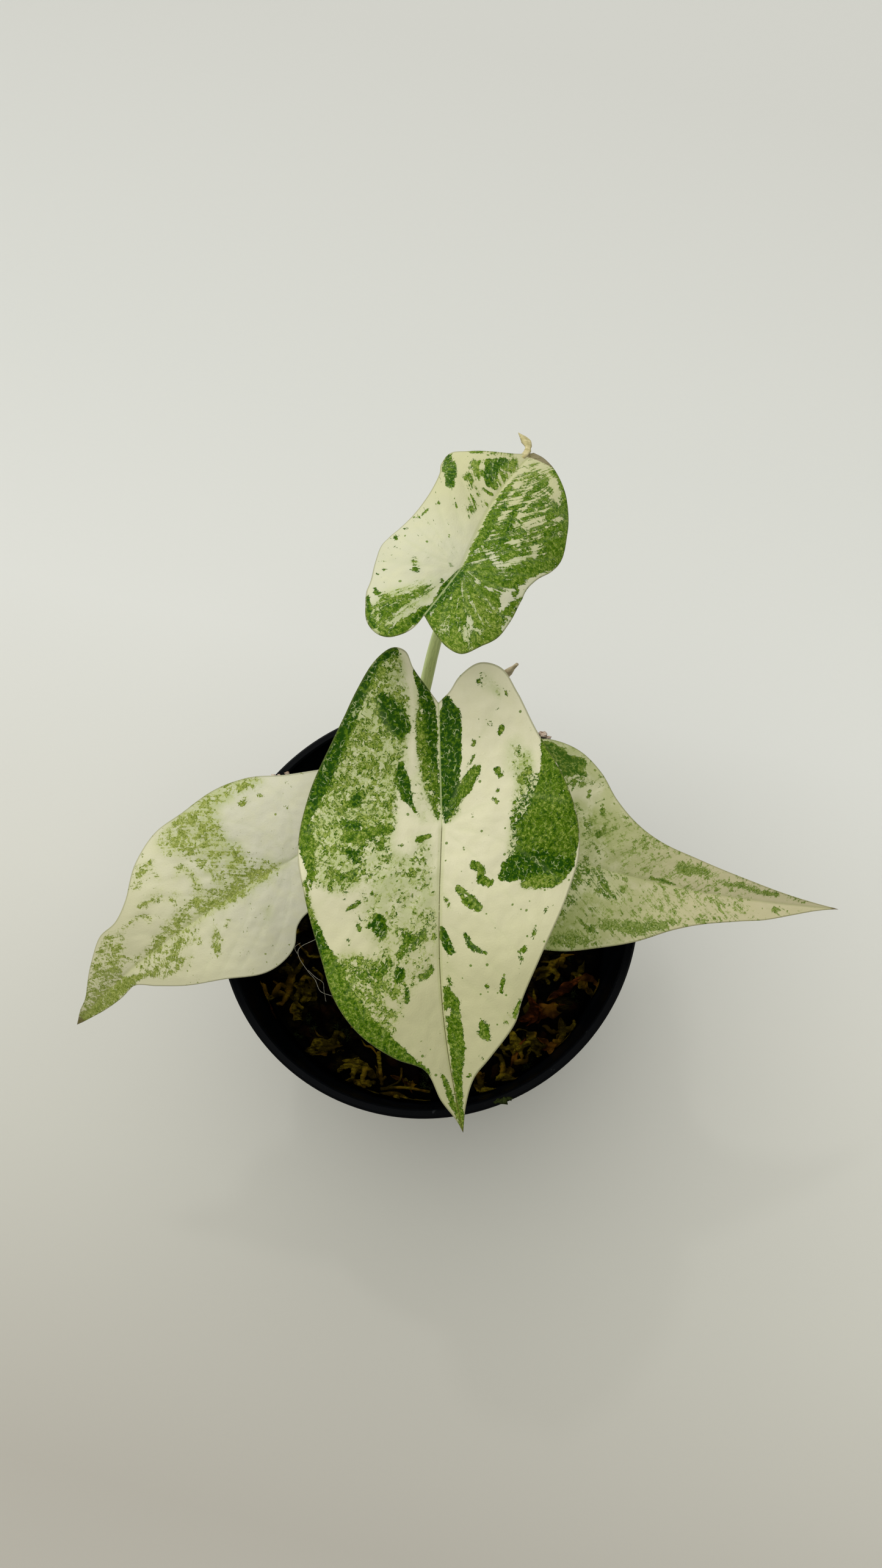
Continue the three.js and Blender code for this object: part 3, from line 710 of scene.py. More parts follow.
flakes = [strip_part(on_bed(pixels, rises), widest * 0.85, curl, seed=k)
          for k, (pixels, rises, widest, curl) in enumerate(LITTER_FLAKES)]
for k, (pixels, rises, *_) in enumerate(LITTER_FLAKES):
    flakes += shoots(pixels, rises, k)
large_litter = joined("large_litter", flakes, litter)
strips = joined("bark_strips", [
    strip_part(on_bed(pixels, rises), widest * 1.1, curl, ragged=0.4, seed=k + 40)
    for k, (pixels, rises, widest, curl) in enumerate(RED_STRIPS)], red_bark)
strands = joined("fibre_strands", [
    tube_part(on_bed(pixels, rises), radius, knobbly=0.5, seed=k)
    for k, (pixels, rises, radius) in enumerate(STRANDS)], litter)
hairs = joined("root_hairs", [
    tube_part(on_bed(pixels, rises), radius, sides=6, steps=60)
    for pixels, rises, radius in ROOT_HAIRS], root_white)


TUFT_LEAVES, TUFT_LENGTH, TUFT_LEAF_WIDTH = 11, 1.7, 0.16


def tuft_part(seed):
    # A moss shoot: thin leaves fanned round a short stem
    vertices, faces = [], []
    for k in range(TUFT_LEAVES):
        angle = 2.4 * k + seed
        lean = 0.25 + 0.09 * k
        c, s = math.cos(angle), math.sin(angle)
        tip = np.array((c * math.sin(lean), s * math.sin(lean), math.cos(lean))) * TUFT_LENGTH
        around = np.array((-s, c, 0)) * TUFT_LEAF_WIDTH
        root = tip * 0.1
        faces += [[len(vertices) + i for i in face] for face in ((0, 2, 1), (0, 1, 3), (1, 2, 3), (2, 0, 3))]
        vertices += [root - around, root + around, root + (0, 0, 0.14), tip]
    return vertices, faces


def moss_patch(column, row, size):
    x, y, _ = seen_at(column, row, SOIL_LEVEL + 1)
    inward = min(1, (BED_RADIUS - size) / math.hypot(x, y))
    return ring_part(0.05, size, (x * inward, y * inward), 10)


def turn_up_at_wall(piece):
    # Ends that would reach through the pot's wall are turned up against it
    for vertex in piece.data.vertices:
        reach, height = math.hypot(vertex.co.x, vertex.co.y) / MM, vertex.co.z / MM
        over = reach - WALL_FOOT - WALL_SLOPE * height
        if over > 0:
            height += 0.6 * over
            inward = (WALL_FOOT + WALL_SLOPE * height) / reach
            vertex.co = (vertex.co.x * inward, vertex.co.y * inward, height * MM)


# Column and row of the photograph, and the radius of the patch
MOSS_SPOTS = [
    (507, 1667, 3.6), (475, 1709, 3), (918, 1577, 4.5), (905, 1560, 3.5), (940, 1640, 2.4), (560, 1690, 2.4),
    (870, 1760, 2.6), (700, 1770, 2.2), (800, 1720, 2)]
patches = [moss_patch(*spot) for spot in MOSS_SPOTS]
moss = scatter("moss_tufts", patches, [tuft_part(k) for k in range(3)], moss_green,
               Gap=0.0008, Smallest=0.5, Largest=1.1, Tilt=0.5, Rise=0.0002, Seed=2)

for piece in (bark, small_litter, large_litter, strips, strands, moss):
    turn_up_at_wall(piece)
for piece in (bed, bark, small_litter, large_litter, strips, strands):
    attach(piece, "root")
    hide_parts("substrate")
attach(moss, "root")
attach(hairs, "root")


# Corm: the short swollen stem that all the petioles rise from, half sunk in the substrate,
# with rings of old leaf scars under a dry fibrous skin.
CORM_CENTRE = (-8, 2)
CORM_RADIUS = 7.6
CORM_TOP = 68
CORM_DEPTH = 20
SCAR_DEPTH, SCARS_PER_MM = 0.18, 2.6
FIBRE_DEPTH = 0.25
CORM_PROFILE = [(0.0, 0.0), (0.55, 0.075), (0.9, 0.3), (1.0, 0.6), (0.94, 0.85), (0.8, 0.97), (0.0, 1.0)]


def corm_part(sides=72, rings=46):
    profile = [(r * CORM_RADIUS, CORM_TOP - CORM_DEPTH * (1 - h)) for r, h in CORM_PROFILE]
    outline = evenly(smooth_line(profile, per_step=20), rings + 1)
    vertices = [(*CORM_CENTRE, outline[0][1])]
    for ring in range(1, rings):
        radius, height = outline[ring]
        for i in range(sides):
            angle = 2 * math.pi * i / sides
            c, s = math.cos(angle), math.sin(angle)
            scar = SCAR_DEPTH * math.sin(height * SCARS_PER_MM + 0.6 * math.sin(angle * 2))
            fibre = FIBRE_DEPTH * noise.noise((c * 6, s * 6, height * 0.25))
            size = radius + (scar + fibre) * min(1, radius / 4) - 0.2
            vertices.append((CORM_CENTRE[0] + size * c, CORM_CENTRE[1] + size * s, height))
    vertices.append((*CORM_CENTRE, outline[-1][1] - 0.1))
    return vertices, lathe_faces(rings - 1, sides)


corm_skin = earthy_material("corm_skin", (0.05, 0.032, 0.014), (0.20, 0.15, 0.08), 420, 0.8, 0.0003, 0.15)
corm = joined("corm", [corm_part()], corm_skin)
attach(corm, "root")
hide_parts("corm")


# Front leaf: the largest blade, grown as one piece with its petiole, which meets it from
# below like a handle under a shield. Half the tissue is cream, half is patched with green.
BLADE_THICKNESS = 0.5
CREASE_SOFTNESS = 0.8
RIB_SIZE, RIB_LOSS = 1.1, 0.8
SIDE_RIB_DEPTH, SIDE_RIB_WIDTH = 0.25, 0.5
MIDRIB_GROOVE, VEIN_GROOVE, VEIN_GROOVE_WIDTH = 0.1, 0.05, 0.9
SWELL_HEIGHT = 0.22
FAN_WIDTH = 15.0
PETIOLE_OVERLAP = 0.12
BLADE_RAYS, BLADE_RINGS = 400, 84

# A blade is drawn flat in millimetres and then bent. The first number of a point runs from
# the junction with the petiole to the tip, the second is the distance from the midrib, and
# is positive to the right of the tip. Angles are in degrees.
FRONT_LEAF = {
    "junction": (3, 2.8, 147), "front": 68, "back": 37, "half": 29,
    "heading": -84, "pitch": -16, "arch": -28, "back_arch": -10, "roll": 0, "twist": 0,
    "fold": (14, 12), "cup": (-30, -28), "tip_fold": 8,
    "bow": 3, "sway": 1.5, "sinus": 25, "lean": -1.8,
    "wave": 0.8, "wave_length": 30, "wave_phase": 20,
    "vein_spread": 0.75, "vein_curve": 0.02, "vein_gap": 9,
    "right": [
        (-25, 0), (-28, 1.8), (-32.5, 4.4), (-36, 5.6), (-37, 8), (-35, 11.6), (-29, 16.2), (-19, 21.8),
        (-9.5, 26.6), (1, 29.2), (11, 27.4), (24, 24), (32, 21.8), (40, 17.2), (46, 11.2), (50, 5.5),
        (58, 3.3), (64, 0.9), (67.5, 0)],
    "left": [
        (-25, 0), (-27, -2.4), (-30, -4.8), (-32.3, -9), (-30.8, -13.2), (-25.5, -16), (-17.5, -19.7),
        (-9, -24.4), (0, -27.5), (8, -28.5), (16, -26.2), (26, -21.2), (36, -16.5), (41, -14.7),
        (48, -9), (53, -4.8), (60, -1.9), (67.5, 0)],
}

# What a stroke of the variegation leaves behind: the share of the tissue that is green, how
# deep that green is, the green haze under the cream, and the width of the stroke's soft edge
STROKE_KINDS = {
    "cream": (-0.4, 0.5, 0.0, 0.7),
    "pale": (-0.1, 0.3, 0.45, 1.2),
    "haze": (0.15, 0.3, 0.9, 2.2),
    "mottle": (0.47, 0.2, 1.0, 1.4),
    "torn": (0.55, 0.8, 0.6, 0.9),
    "flecks": (0.8, 0.5, 0.7, 0.9),
    "olive": (1.05, 0.25, 0.8, 0.9),
    "islet": (1.12, 0.45, 0.1, 0.55),
    "green": (1.35, 0.5, 0.4, 0.6),
    "deep": (1.45, 1.0, 0.3, 0.5),
}

# Strokes in the order in which they are laid, each a chain of points: along, across and half
# width. Strokes of one kind share a row where their order makes no difference.
FRONT_STROKES = [
    ("mottle", [(-34, 9, 2.5), (-28, 11, 4.5), (-18, 14, 6.5), (-8, 17, 8.5), (1, 18, 8), (6, 20, 5)],
     [(-34, 8.5, 2), (-28, 9, 3), (-20, 9, 3), (-12, 9.5, 3.2)],
     [(-4, 24, 2.4), (2, 24.6, 2.4), (7, 24, 2)]),
    ("haze", [(-28, 3.5, 1.2), (-20, 3.5, 1.8), (-12, 3.5, 1.8), (-5, 2.5, 1)]),
    ("flecks", [(-29, 3, 1), (-22, 2.2, 1.9), (-14, 2, 1.7), (-8, 1.6, 1.2), (-2, 1, 0.6)]),
    ("deep", [(-36.5, 8, 1), (-35, 12, 1.3), (-30, 15.6, 1.8), (-24, 18.6, 1.9), (-18, 21.4, 2.1),
      (-12, 24.4, 2.2), (-7, 26.6, 1.6)],
     [(-27, 11, 1.3), (-24, 9.6, 2.5), (-21, 7.8, 1.9), (-19.3, 7.6, 0.6)]),
    ("green", [(-6, 27.6, 1.2), (0, 27.8, 1.7), (5, 26.6, 1), (8, 26, 0.5)]),
    ("pale", [(-18, 6, 0.6), (-14, 6.5, 1.4), (-9, 5.5, 1.6), (-3, 4, 1.6)]),
    ("cream", [(-33, 5.3, 0.1), (-28, 5.4, 0.15), (-22, 5.2, 0.2), (-16, 5.6, 0.5), (-12, 5.8, 0.5)]),
    ("deep", [(-13.5, 8, 0.6), (-10, 7.7, 1.3), (-7, 7, 1), (-5, 6, 0.4), (-3.8, 5.2, 0.2)],
     [(-32, 4, 0.6), (-28, 3, 1.1), (-24, 2, 1.4), (-20, 1.5, 1.1), (-16, 1.4, 0.8), (-12, 1.2, 0.5)],
     [(-3, 19.6, 0.7), (-1.9, 16.8, 0.6)], [(-8.5, 16.5, 0.5), (-7, 17.5, 1)]),
    ("olive", [(-23, 4.2, 0.6), (-18, 4, 0.7), (-14, 3.7, 0.4), (-8, 3.1, 0.3)],
     [(8, 27.4, 0.5), (13, 26.6, 0.7), (18, 25.2, 1.2)]),
    ("green", [(0, 19.5, 0.8), (-0.8, 13, 1), (-0.9, 10, 0.5)]),
    ("deep", [(3, 18.6, 0.8), (4.2, 16.5, 1.5), (2.5, 14, 1.9), (3.6, 11.6, 1.2)]),
    ("flecks", [(7.5, 20, 0.8), (6.3, 14.5, 0.7), (5.6, 12, 0.5)]),
    ("haze", [(4, 14, 3), (10, 9, 6), (16, 9, 7), (22, 7, 6), (28, 9, 5)],
     [(3, 4, 1.5), (10, 4, 3), (18, 4, 3), (26, 4, 3)]),
    ("cream", [(13, 22, 1.6), (18, 20.5, 1.8), (22, 17, 0.8)]),
    ("green", [(1.4, 2.7, 0.5), (1.7, 4.8, 0.6)], [(2.6, 7.9, 0.3), (2.4, 8.6, 0.2)],
     [(13, 16.6, 0.7), (14, 18.6, 0.4)], [(18, 16.5, 0.4), (18.4, 16.2, 0.3)],
     [(20.2, 18.7, 0.4), (20.6, 18, 0.2)], [(29.6, 4.2, 0.6), (29.6, 2.8, 0.7), (28, 1.6, 0.3)]),
    ("mottle", [(8, 6, 1), (9, 4, 0.8)],
     [(25, 18, 2.5), (28, 14, 4), (31, 11.5, 4), (36, 11, 2.5), (39, 11.6, 1.4)],
     [(24.5, 20, 1.2), (28, 18.4, 2), (33, 16, 2.2), (38, 13.4, 1.8), (42, 11, 1)]),
    ("deep", [(16.6, 12.4, 1), (18.6, 12.2, 1.4), (20, 11.6, 0.6)], [(18, 14.4, 0.3), (17.6, 13.4, 0.6)]),
    ("flecks", [(20, 8, 0.8), (22, 5.5, 1.6), (24, 7.5, 1.5), (20, 3, 0.8)],
     [(17, 1.4, 0.6), (18.5, 2.4, 0.5)], [(26, 11, 1.2), (28, 14, 1), (27, 17, 0.8)]),
    ("cream", [(33.6, 11, 0.4), (35, 9.6, 0.4)]),
    ("deep", [(27.4, 8.4, 0.9), (29, 8.4, 1)], [(31.8, 7.1, 0.5), (34.4, 7.3, 0.3)],
     [(18, 25.4, 1.2), (24, 23.4, 1.9), (30, 21.6, 2.2)], [(-25.4, -1.8, 1), (-22, -2.3, 2.2),
      (-18, -2.4, 2.3), (-13, -2.1, 2.2), (-8, -1.7, 2), (-4, -1.5, 1.6), (-1.2, -0.9, 0.5)]),
    ("green", [(24, 22.8, 1.9), (32, 20.2, 2.4), (38, 16.6, 2.4), (43, 12.6, 2.1), (47, 8.6, 1.4),
      (51, 4.8, 0.7)], [(52, 2.2, 0.3), (54, 1.6, 0.7), (58, 1.2, 0.7), (62, 0.7, 0.4)]),
    ("flecks", [(-5.4, -3.6, 0.6), (-3, -3, 0.8), (-1.4, -1.8, 0.4)]),
    ("green", [(-11.2, -7.4, 1), (-9.6, -6, 1.4), (-7.4, -5, 1.3), (-5.5, -3.6, 0.8)],
     [(-14, -7.1, 0.12), (-11.6, -5.4, 0.15)]),
    ("islet", [(-30, -9.4, 0.38), (-28.6, -8.6, 0.68)]),
    ("haze", [(-29, -9.6, 0.5), (-26.5, -12, 0.2)]),
    ("flecks", [(-26.4, -12, 0.7), (-25.7, -12.2, 0.5)], [(13.6, -1, 0.3), (16, -2.1, 0.3)]),
    ("islet", [(-26, -13.6, 0.48), (-25.4, -13.7, 0.48)], [(-20, -10.4, 0.53), (-19.8, -10.3, 0.48)],
     [(-18.8, -12.6, 0.68), (-17.6, -12.1, 0.38)], [(-17.8, -18.6, 0.38), (-17.4, -18.5, 0.38)],
     [(-16.5, -7, 0.53), (-16, -6.9, 0.38)], [(-10.6, -11.4, 0.68), (-9.7, -12.2, 0.78)],
     [(-6.3, -11.4, 0.48), (-6.2, -11.2, 0.38)], [(-4.7, -10.8, 0.58), (-4, -11.4, 0.48)],
     [(7.8, -6.9, 0.95), (9, -8.2, 1.05), (11, -8.4, 0.95), (11.7, -10.2, 0.75)],
     [(12.5, -3.9, 0.65), (14.6, -5.9, 1.25), (16.6, -8, 0.95)], [(18.2, -21.7, 0.48), (19, -21.5, 0.48)],
     [(22, -19.4, 0.53), (23.6, -19.1, 0.38)], [(25.6, -17.2, 0.63), (25.8, -16.9, 0.58)],
     [(26, -16, 0.28), (28.4, -16.5, 0.26)], [(32.4, -9.3, 0.48), (32.8, -9.6, 0.38)],
     [(30.6, -13, 0.38), (34.2, -12.4, 0.43)], [(41, -8, 1.05), (43.4, -8.6, 1.15), (42.6, -7.2, 0.75)]),
    ("haze", [(-15, -15, 1), (-11.5, -15.5, 1.8), (-9, -16.6, 2)]),
    ("mottle", [(-13, -17.6, 1), (-9.6, -17.4, 1.4), (-5.6, -17, 2), (-2, -16.6, 2.2), (2, -15.8, 1.6),
      (5, -16.4, 1.8)]),
    ("torn", [(-8, -19, 1), (-3, -17.4, 2.4), (2, -16, 2.6), (6, -15.4, 2)]),
    ("green", [(-16, -20.9, 0.5), (-11, -21.8, 1.5), (-7, -22.6, 3), (-2, -22.4, 4.8), (3, -21.9, 6.4),
      (7, -21.8, 6.4), (10, -22.6, 4.2)]),
    ("olive", [(12.6, -17.6, 1.2), (13, -20.5, 1.2), (12.4, -23, 0.8)]),
    ("deep", [(10.6, -13, 1.2), (9.6, -14.6, 2.4), (9, -17, 2.7), (8.4, -20, 2.3), (9.6, -23, 2),
      (10, -26, 1.6)], [(20, -0.6, 0.4), (22.6, -1.3, 1), (24.8, -2.2, 0.8), (25.2, -3.2, 0.3)],
     [(21.6, -5.4, 0.3), (24, -6.4, 0.6), (25.2, -8.2, 0.4), (25.8, -9.6, 0.2)]),
    ("haze", [(28, -1.6, 0.5), (30, -1.8, 0.3)], [(40.6, -12.4, 0.4), (39, -14.2, 0.3)]),
    ("flecks", [(30.8, -1.8, 0.4), (31.8, -2.2, 0.4)]),
    ("green", [(33, -1, 0.8), (36, -2.1, 1.6), (41, -2.1, 1.7), (46, -2.2, 1.8), (49, -1.8, 1.3),
      (53, -1.2, 1), (58, -0.8, 0.8), (64, -0.3, 0.7)]),
    ("cream", [(37.4, -1.3, 0.4), (38.4, -1, 0.5)], [(40.4, -0.7, 0.3), (41, -0.6, 0.2)]),
    ("islet", [(36.4, -16, 0.38), (39.4, -14.8, 0.48)], [(48.4, -7.2, 0.38), (49, -7, 0.38)],
     [(52.2, -4.1, 0.33), (53, -3.5, 0.33)]),
    ("olive", [(60, 0, 0.7), (67, 0, 0.8)])]


def smooth(x):
    x = np.clip(x, 0, 1)
    return x * x * (3 - 2 * x)


def arc_step(length, start_angle, bend):
    # How far a bent line goes, and how much it rises, over its length
    bend = np.where(np.abs(bend) < 1e-6, 1e-6, bend)
    end_angle = start_angle + bend * length
    return (np.sin(end_angle) - np.sin(start_angle)) / bend, (np.cos(start_angle) - np.cos(end_angle)) / bend


def blade_point(leaf, along, across, rise=0.0):
    # The place in space of a point of the flat drawing, "rise" above the blade's middle
    along, across = np.broadcast_arrays(np.asarray(along, float), np.asarray(across, float))
    right_side = across >= 0
    u = np.clip(along / leaf["front"], -1, 1)
    pitch = math.radians(leaf["pitch"])
    bend = np.where(along >= 0, math.radians(leaf["arch"]) / leaf["front"],
                    -math.radians(leaf["back_arch"]) / leaf["back"])
    run, climb = arc_step(along, pitch, bend)
    slope = pitch + bend * along
    reach = np.abs(across)
    fold = np.radians(np.where(right_side, *leaf["fold"]) + leaf["tip_fold"] * smooth(u))
    out, lift = arc_step(reach, fold, np.radians(np.where(right_side, *leaf["cup"])) / leaf["half"])
    phase = math.radians(leaf["wave_phase"]) + np.where(right_side, 0, 1.9)
    ripple = np.sin(2 * math.pi * along / leaf["wave_length"] + phase) * smooth(reach / leaf["half"])
    height = lift * reach / (reach + CREASE_SOFTNESS) + leaf["wave"] * ripple + rise
    forward = np.minimum(along / leaf["front"], 1.3)
    ahead_offset = leaf["bow"] * np.sin(math.pi * np.minimum(forward, 1)) + leaf["sway"] * forward ** 2
    behind_offset = leaf["lean"] * np.minimum(-along / leaf["sinus"], 1)
    sideways = np.where(along < 0, behind_offset, ahead_offset) + np.where(right_side, out, -out)
    heading = math.radians(leaf["heading"])
    ahead = np.array((math.cos(heading), math.sin(heading), 0))
    aside = np.array((math.sin(heading), -math.cos(heading), 0))
    up = np.array((0, 0, 1))
    normal = up * np.cos(slope)[..., None] - ahead * np.sin(slope)[..., None]
    roll = np.radians(leaf["roll"] + leaf["twist"] * u * np.abs(u))[..., None]
    flat_aside = aside * np.cos(roll) + normal * np.sin(roll)
    flat_normal = normal * np.cos(roll) - aside * np.sin(roll)
    place = np.array(leaf["junction"]) + ahead * run[..., None] + up * climb[..., None]
    return place + flat_aside * sideways[..., None] + flat_normal * height[..., None]


def blade_normal(leaf, along, across):
    step = 0.3
    along_step = blade_point(leaf, along + step, across) - blade_point(leaf, along - step, across)
    across_step = blade_point(leaf, along, across + step) - blade_point(leaf, along, across - step)
    normal = np.cross(across_step, along_step)
    return normal / np.linalg.norm(normal, axis=-1, keepdims=True)


def distance_to_chain(points, chain):
    # Signed distance to a chain of segments whose half width changes from point to point
    nearest = np.full(len(points), np.inf)
    chain = np.array(chain, float)
    for (*start, r0), (*end, r1) in zip(chain[:-1], chain[1:]):
        step = np.array(end) - start
        t = np.clip((points - start) @ step / max(step @ step, 1e-9), 0, 1)
        distance = np.linalg.norm(points - start - t[:, None] * step, axis=1)
        nearest = np.minimum(nearest, distance - (r0 + (r1 - r0) * t))
    return nearest


def paint(points, ground, strokes):
    # Green share, depth and haze at each point, stroke over stroke
    layers = np.tile(np.array(ground, float), (len(points), 1))
    for kind, *chains in strokes:
        *values, soft = STROKE_KINDS[kind]
        for chain in chains:
            share = smooth(0.5 - distance_to_chain(points, chain) / (2 * soft))[:, None]
            layers += (np.array(values) - layers) * share
    return layers


def vein_coordinates(leaf, points):
    # Distance out along the side vein, place from vein to vein, and how wide that place is here
    along, reach = points[:, 0], np.abs(points[:, 1])
    spread = leaf["vein_spread"] * (1 + 1.5 * smooth((along / leaf["front"] - 0.55) / 0.45))
    straight = along - leaf["vein_curve"] * reach ** 2
    origin = straight - spread * reach
    radius = np.hypot(straight, reach)
    first = math.atan(1 / leaf["vein_spread"])
    fan = -(np.arctan2(reach, straight) - first) * FAN_WIDTH
    ahead = origin > 0
    out = np.where(ahead, reach * np.hypot(1, spread), radius)
    place = np.where(ahead, origin, fan)
    width = np.where(ahead, 1 / np.hypot(1, spread), np.maximum(radius, 0.5) / FAN_WIDTH)
    return np.stack([out, place, width], -1)


def add_point_vectors(mesh, name, values):
    # Three numbers at each point, for the material to read by that name
    layer = mesh.attributes.new(name, "FLOAT_VECTOR", "POINT")
    layer.data.foreach_set("vector", np.asarray(values, np.float32).ravel())


def build_blade(name, leaf, ground, strokes, material):
    # Two sheets of rings round the junction, joined at the rim by a rounded lip
    rays, rings = BLADE_RAYS, BLADE_RINGS
    right, left = (evenly(smooth_line(leaf[side], per_step=16), rays // 2 + 1) for side in ("right", "left"))
    rim = np.vstack([right, left[1:-1][::-1]])
    shares = np.linspace(0, 1, rings + 1)[1:]
    flat = np.vstack([[(0, 0)], (rim[None] * shares[:, None, None]).reshape(-1, 2)])
    along, across = flat[:, 0], flat[:, 1]
    veins = vein_coordinates(leaf, flat)
    closed_rim = np.column_stack([np.vstack([rim, rim[:1]]), np.zeros(len(rim) + 1)])
    edge = distance_to_chain(flat, closed_rim)
    gap = leaf["vein_gap"]
    from_vein = np.abs((veins[:, 1] + gap / 2) % gap - gap / 2) * np.minimum(veins[:, 2], 1.2)
    inner = smooth(np.abs(across) / 3) * smooth(edge / 3)
    rise = -VEIN_GROOVE * np.exp(-(from_vein / VEIN_GROOVE_WIDTH) ** 2) * inner
    swell = np.array([noise.fractal((p * 0.16, q * 0.16, leaf["front"]), 0.8, 2, 3) for p, q in flat])
    rise += SWELL_HEIGHT * swell * smooth(edge / 4)
    groove = -MIDRIB_GROOVE * np.exp(-(across / 0.5) ** 2) * smooth(edge / 2)
    middle = blade_point(leaf, along, across, rise)
    normal = blade_normal(leaf, along, across)
    taper = 0.55 + 0.45 * smooth(edge / 2.5)
    half = BLADE_THICKNESS / 2 * taper[:, None]
    forward = np.clip(along / leaf["front"], 0, 1)
    rib_width = RIB_SIZE - RIB_LOSS * forward
    rib_depth = np.where(along > 0, rib_width, RIB_SIZE * np.exp(along / 6))
    rib = rib_depth * np.exp(-(across / rib_width) ** 2) * smooth(edge / 2)
    side_rib = SIDE_RIB_DEPTH * np.exp(-(from_vein / SIDE_RIB_WIDTH) ** 2) * inner
    top = middle + normal * (half + groove[:, None])
    bottom = middle - normal * (half + (rib + side_rib)[:, None])
    outward = middle[-rays:] - middle[-2 * rays:-rays]
    outward /= np.linalg.norm(outward, axis=1, keepdims=True)
    lip = middle[-rays:] + outward * BLADE_THICKNESS * 0.25
    count = len(flat)
    vertices = np.vstack([top, bottom, lip]) * MM
    faces = []
    for i in range(rays):
        j = (i + 1) % rays
        faces.append((0, 1 + i, 1 + j))
        faces.append((count, count + 1 + j, count + 1 + i))
        for ring in range(rings - 1):
            a, b = 1 + ring * rays, 1 + (ring + 1) * rays
            faces.append((a + i, b + i, b + j, a + j))
            faces.append((count + a + i, count + a + j, count + b + j, count + b + i))
        a, b = 1 + (rings - 1) * rays, 2 * count
        faces.append((a + i, b + i, b + j, a + j))
        faces.append((count + a + i, count + a + j, b + j, b + i))
    blade = mesh_object(name, vertices, faces, material)
    order = np.concatenate([np.arange(count), np.arange(count), np.arange(count - rays, count)])
    under = np.concatenate([np.zeros(count), np.ones(count), np.full(rays, 0.5)])
    layers = paint(flat, ground, strokes)
    add_point_vectors(blade.data, "veins", veins[order])
    add_point_vectors(blade.data, "paint", layers[order])
    add_point_vectors(blade.data, "flat", np.column_stack([flat[order], edge[order]]))
    vein_mask = np.exp(-(from_vein / 0.35) ** 2) * inner
    add_point_vectors(blade.data, "form", np.column_stack([under, forward[order], vein_mask[order]]))
    return blade


def named_attribute(tree, name):
    attribute = place_node(tree, "ShaderNodeAttribute", attribute_name=name)
    split = place_node(tree, "ShaderNodeSeparateXYZ", {"Vector": attribute.outputs["Vector"]})
    return split.outputs["X"], split.outputs["Y"], split.outputs["Z"]


def cells(tree, vector, scale, feature="F1"):
    inputs = {"Vector": vector, "Scale": scale}
    return place_node(tree, "ShaderNodeTexVoronoi", inputs, feature=feature).outputs


def draws(tree, colour):
    # Two random draws of a cell
    split = place_node(tree, "ShaderNodeSeparateColor", {"Color": colour}).outputs
    return split["Red"], split["Green"]


# Noise of the tissue, in cells or waves per millimetre of the flat drawing
LARGE_CELLS, SMALL_CELLS, SEAM_CELLS, CRACK_CELLS, SPECK_CELLS = 1.35, 3.4, 1.7, 0.85, 0.6
ISLAND_WAVES, BLOT_WAVES, CLOUD_WAVES, STREAK_WAVES = 0.42, 1.2, 0.35, 1.1
# The weave of all the noise at which half the tissue is green, and how far the noise of one
# side of the midrib lies from that of the other
MIDDLE_OF_WEAVE = 0.485
SIDE_SHIFT = 23.0
WARM_CREAM, MARGIN_BROWN, DRY_BROWN = (0.58, 0.56, 0.34), (0.10, 0.11, 0.03), (0.09, 0.055, 0.02)
MIDRIB_DARK = (0.07, 0.065, 0.010)
WAX_SHEEN = 0.05


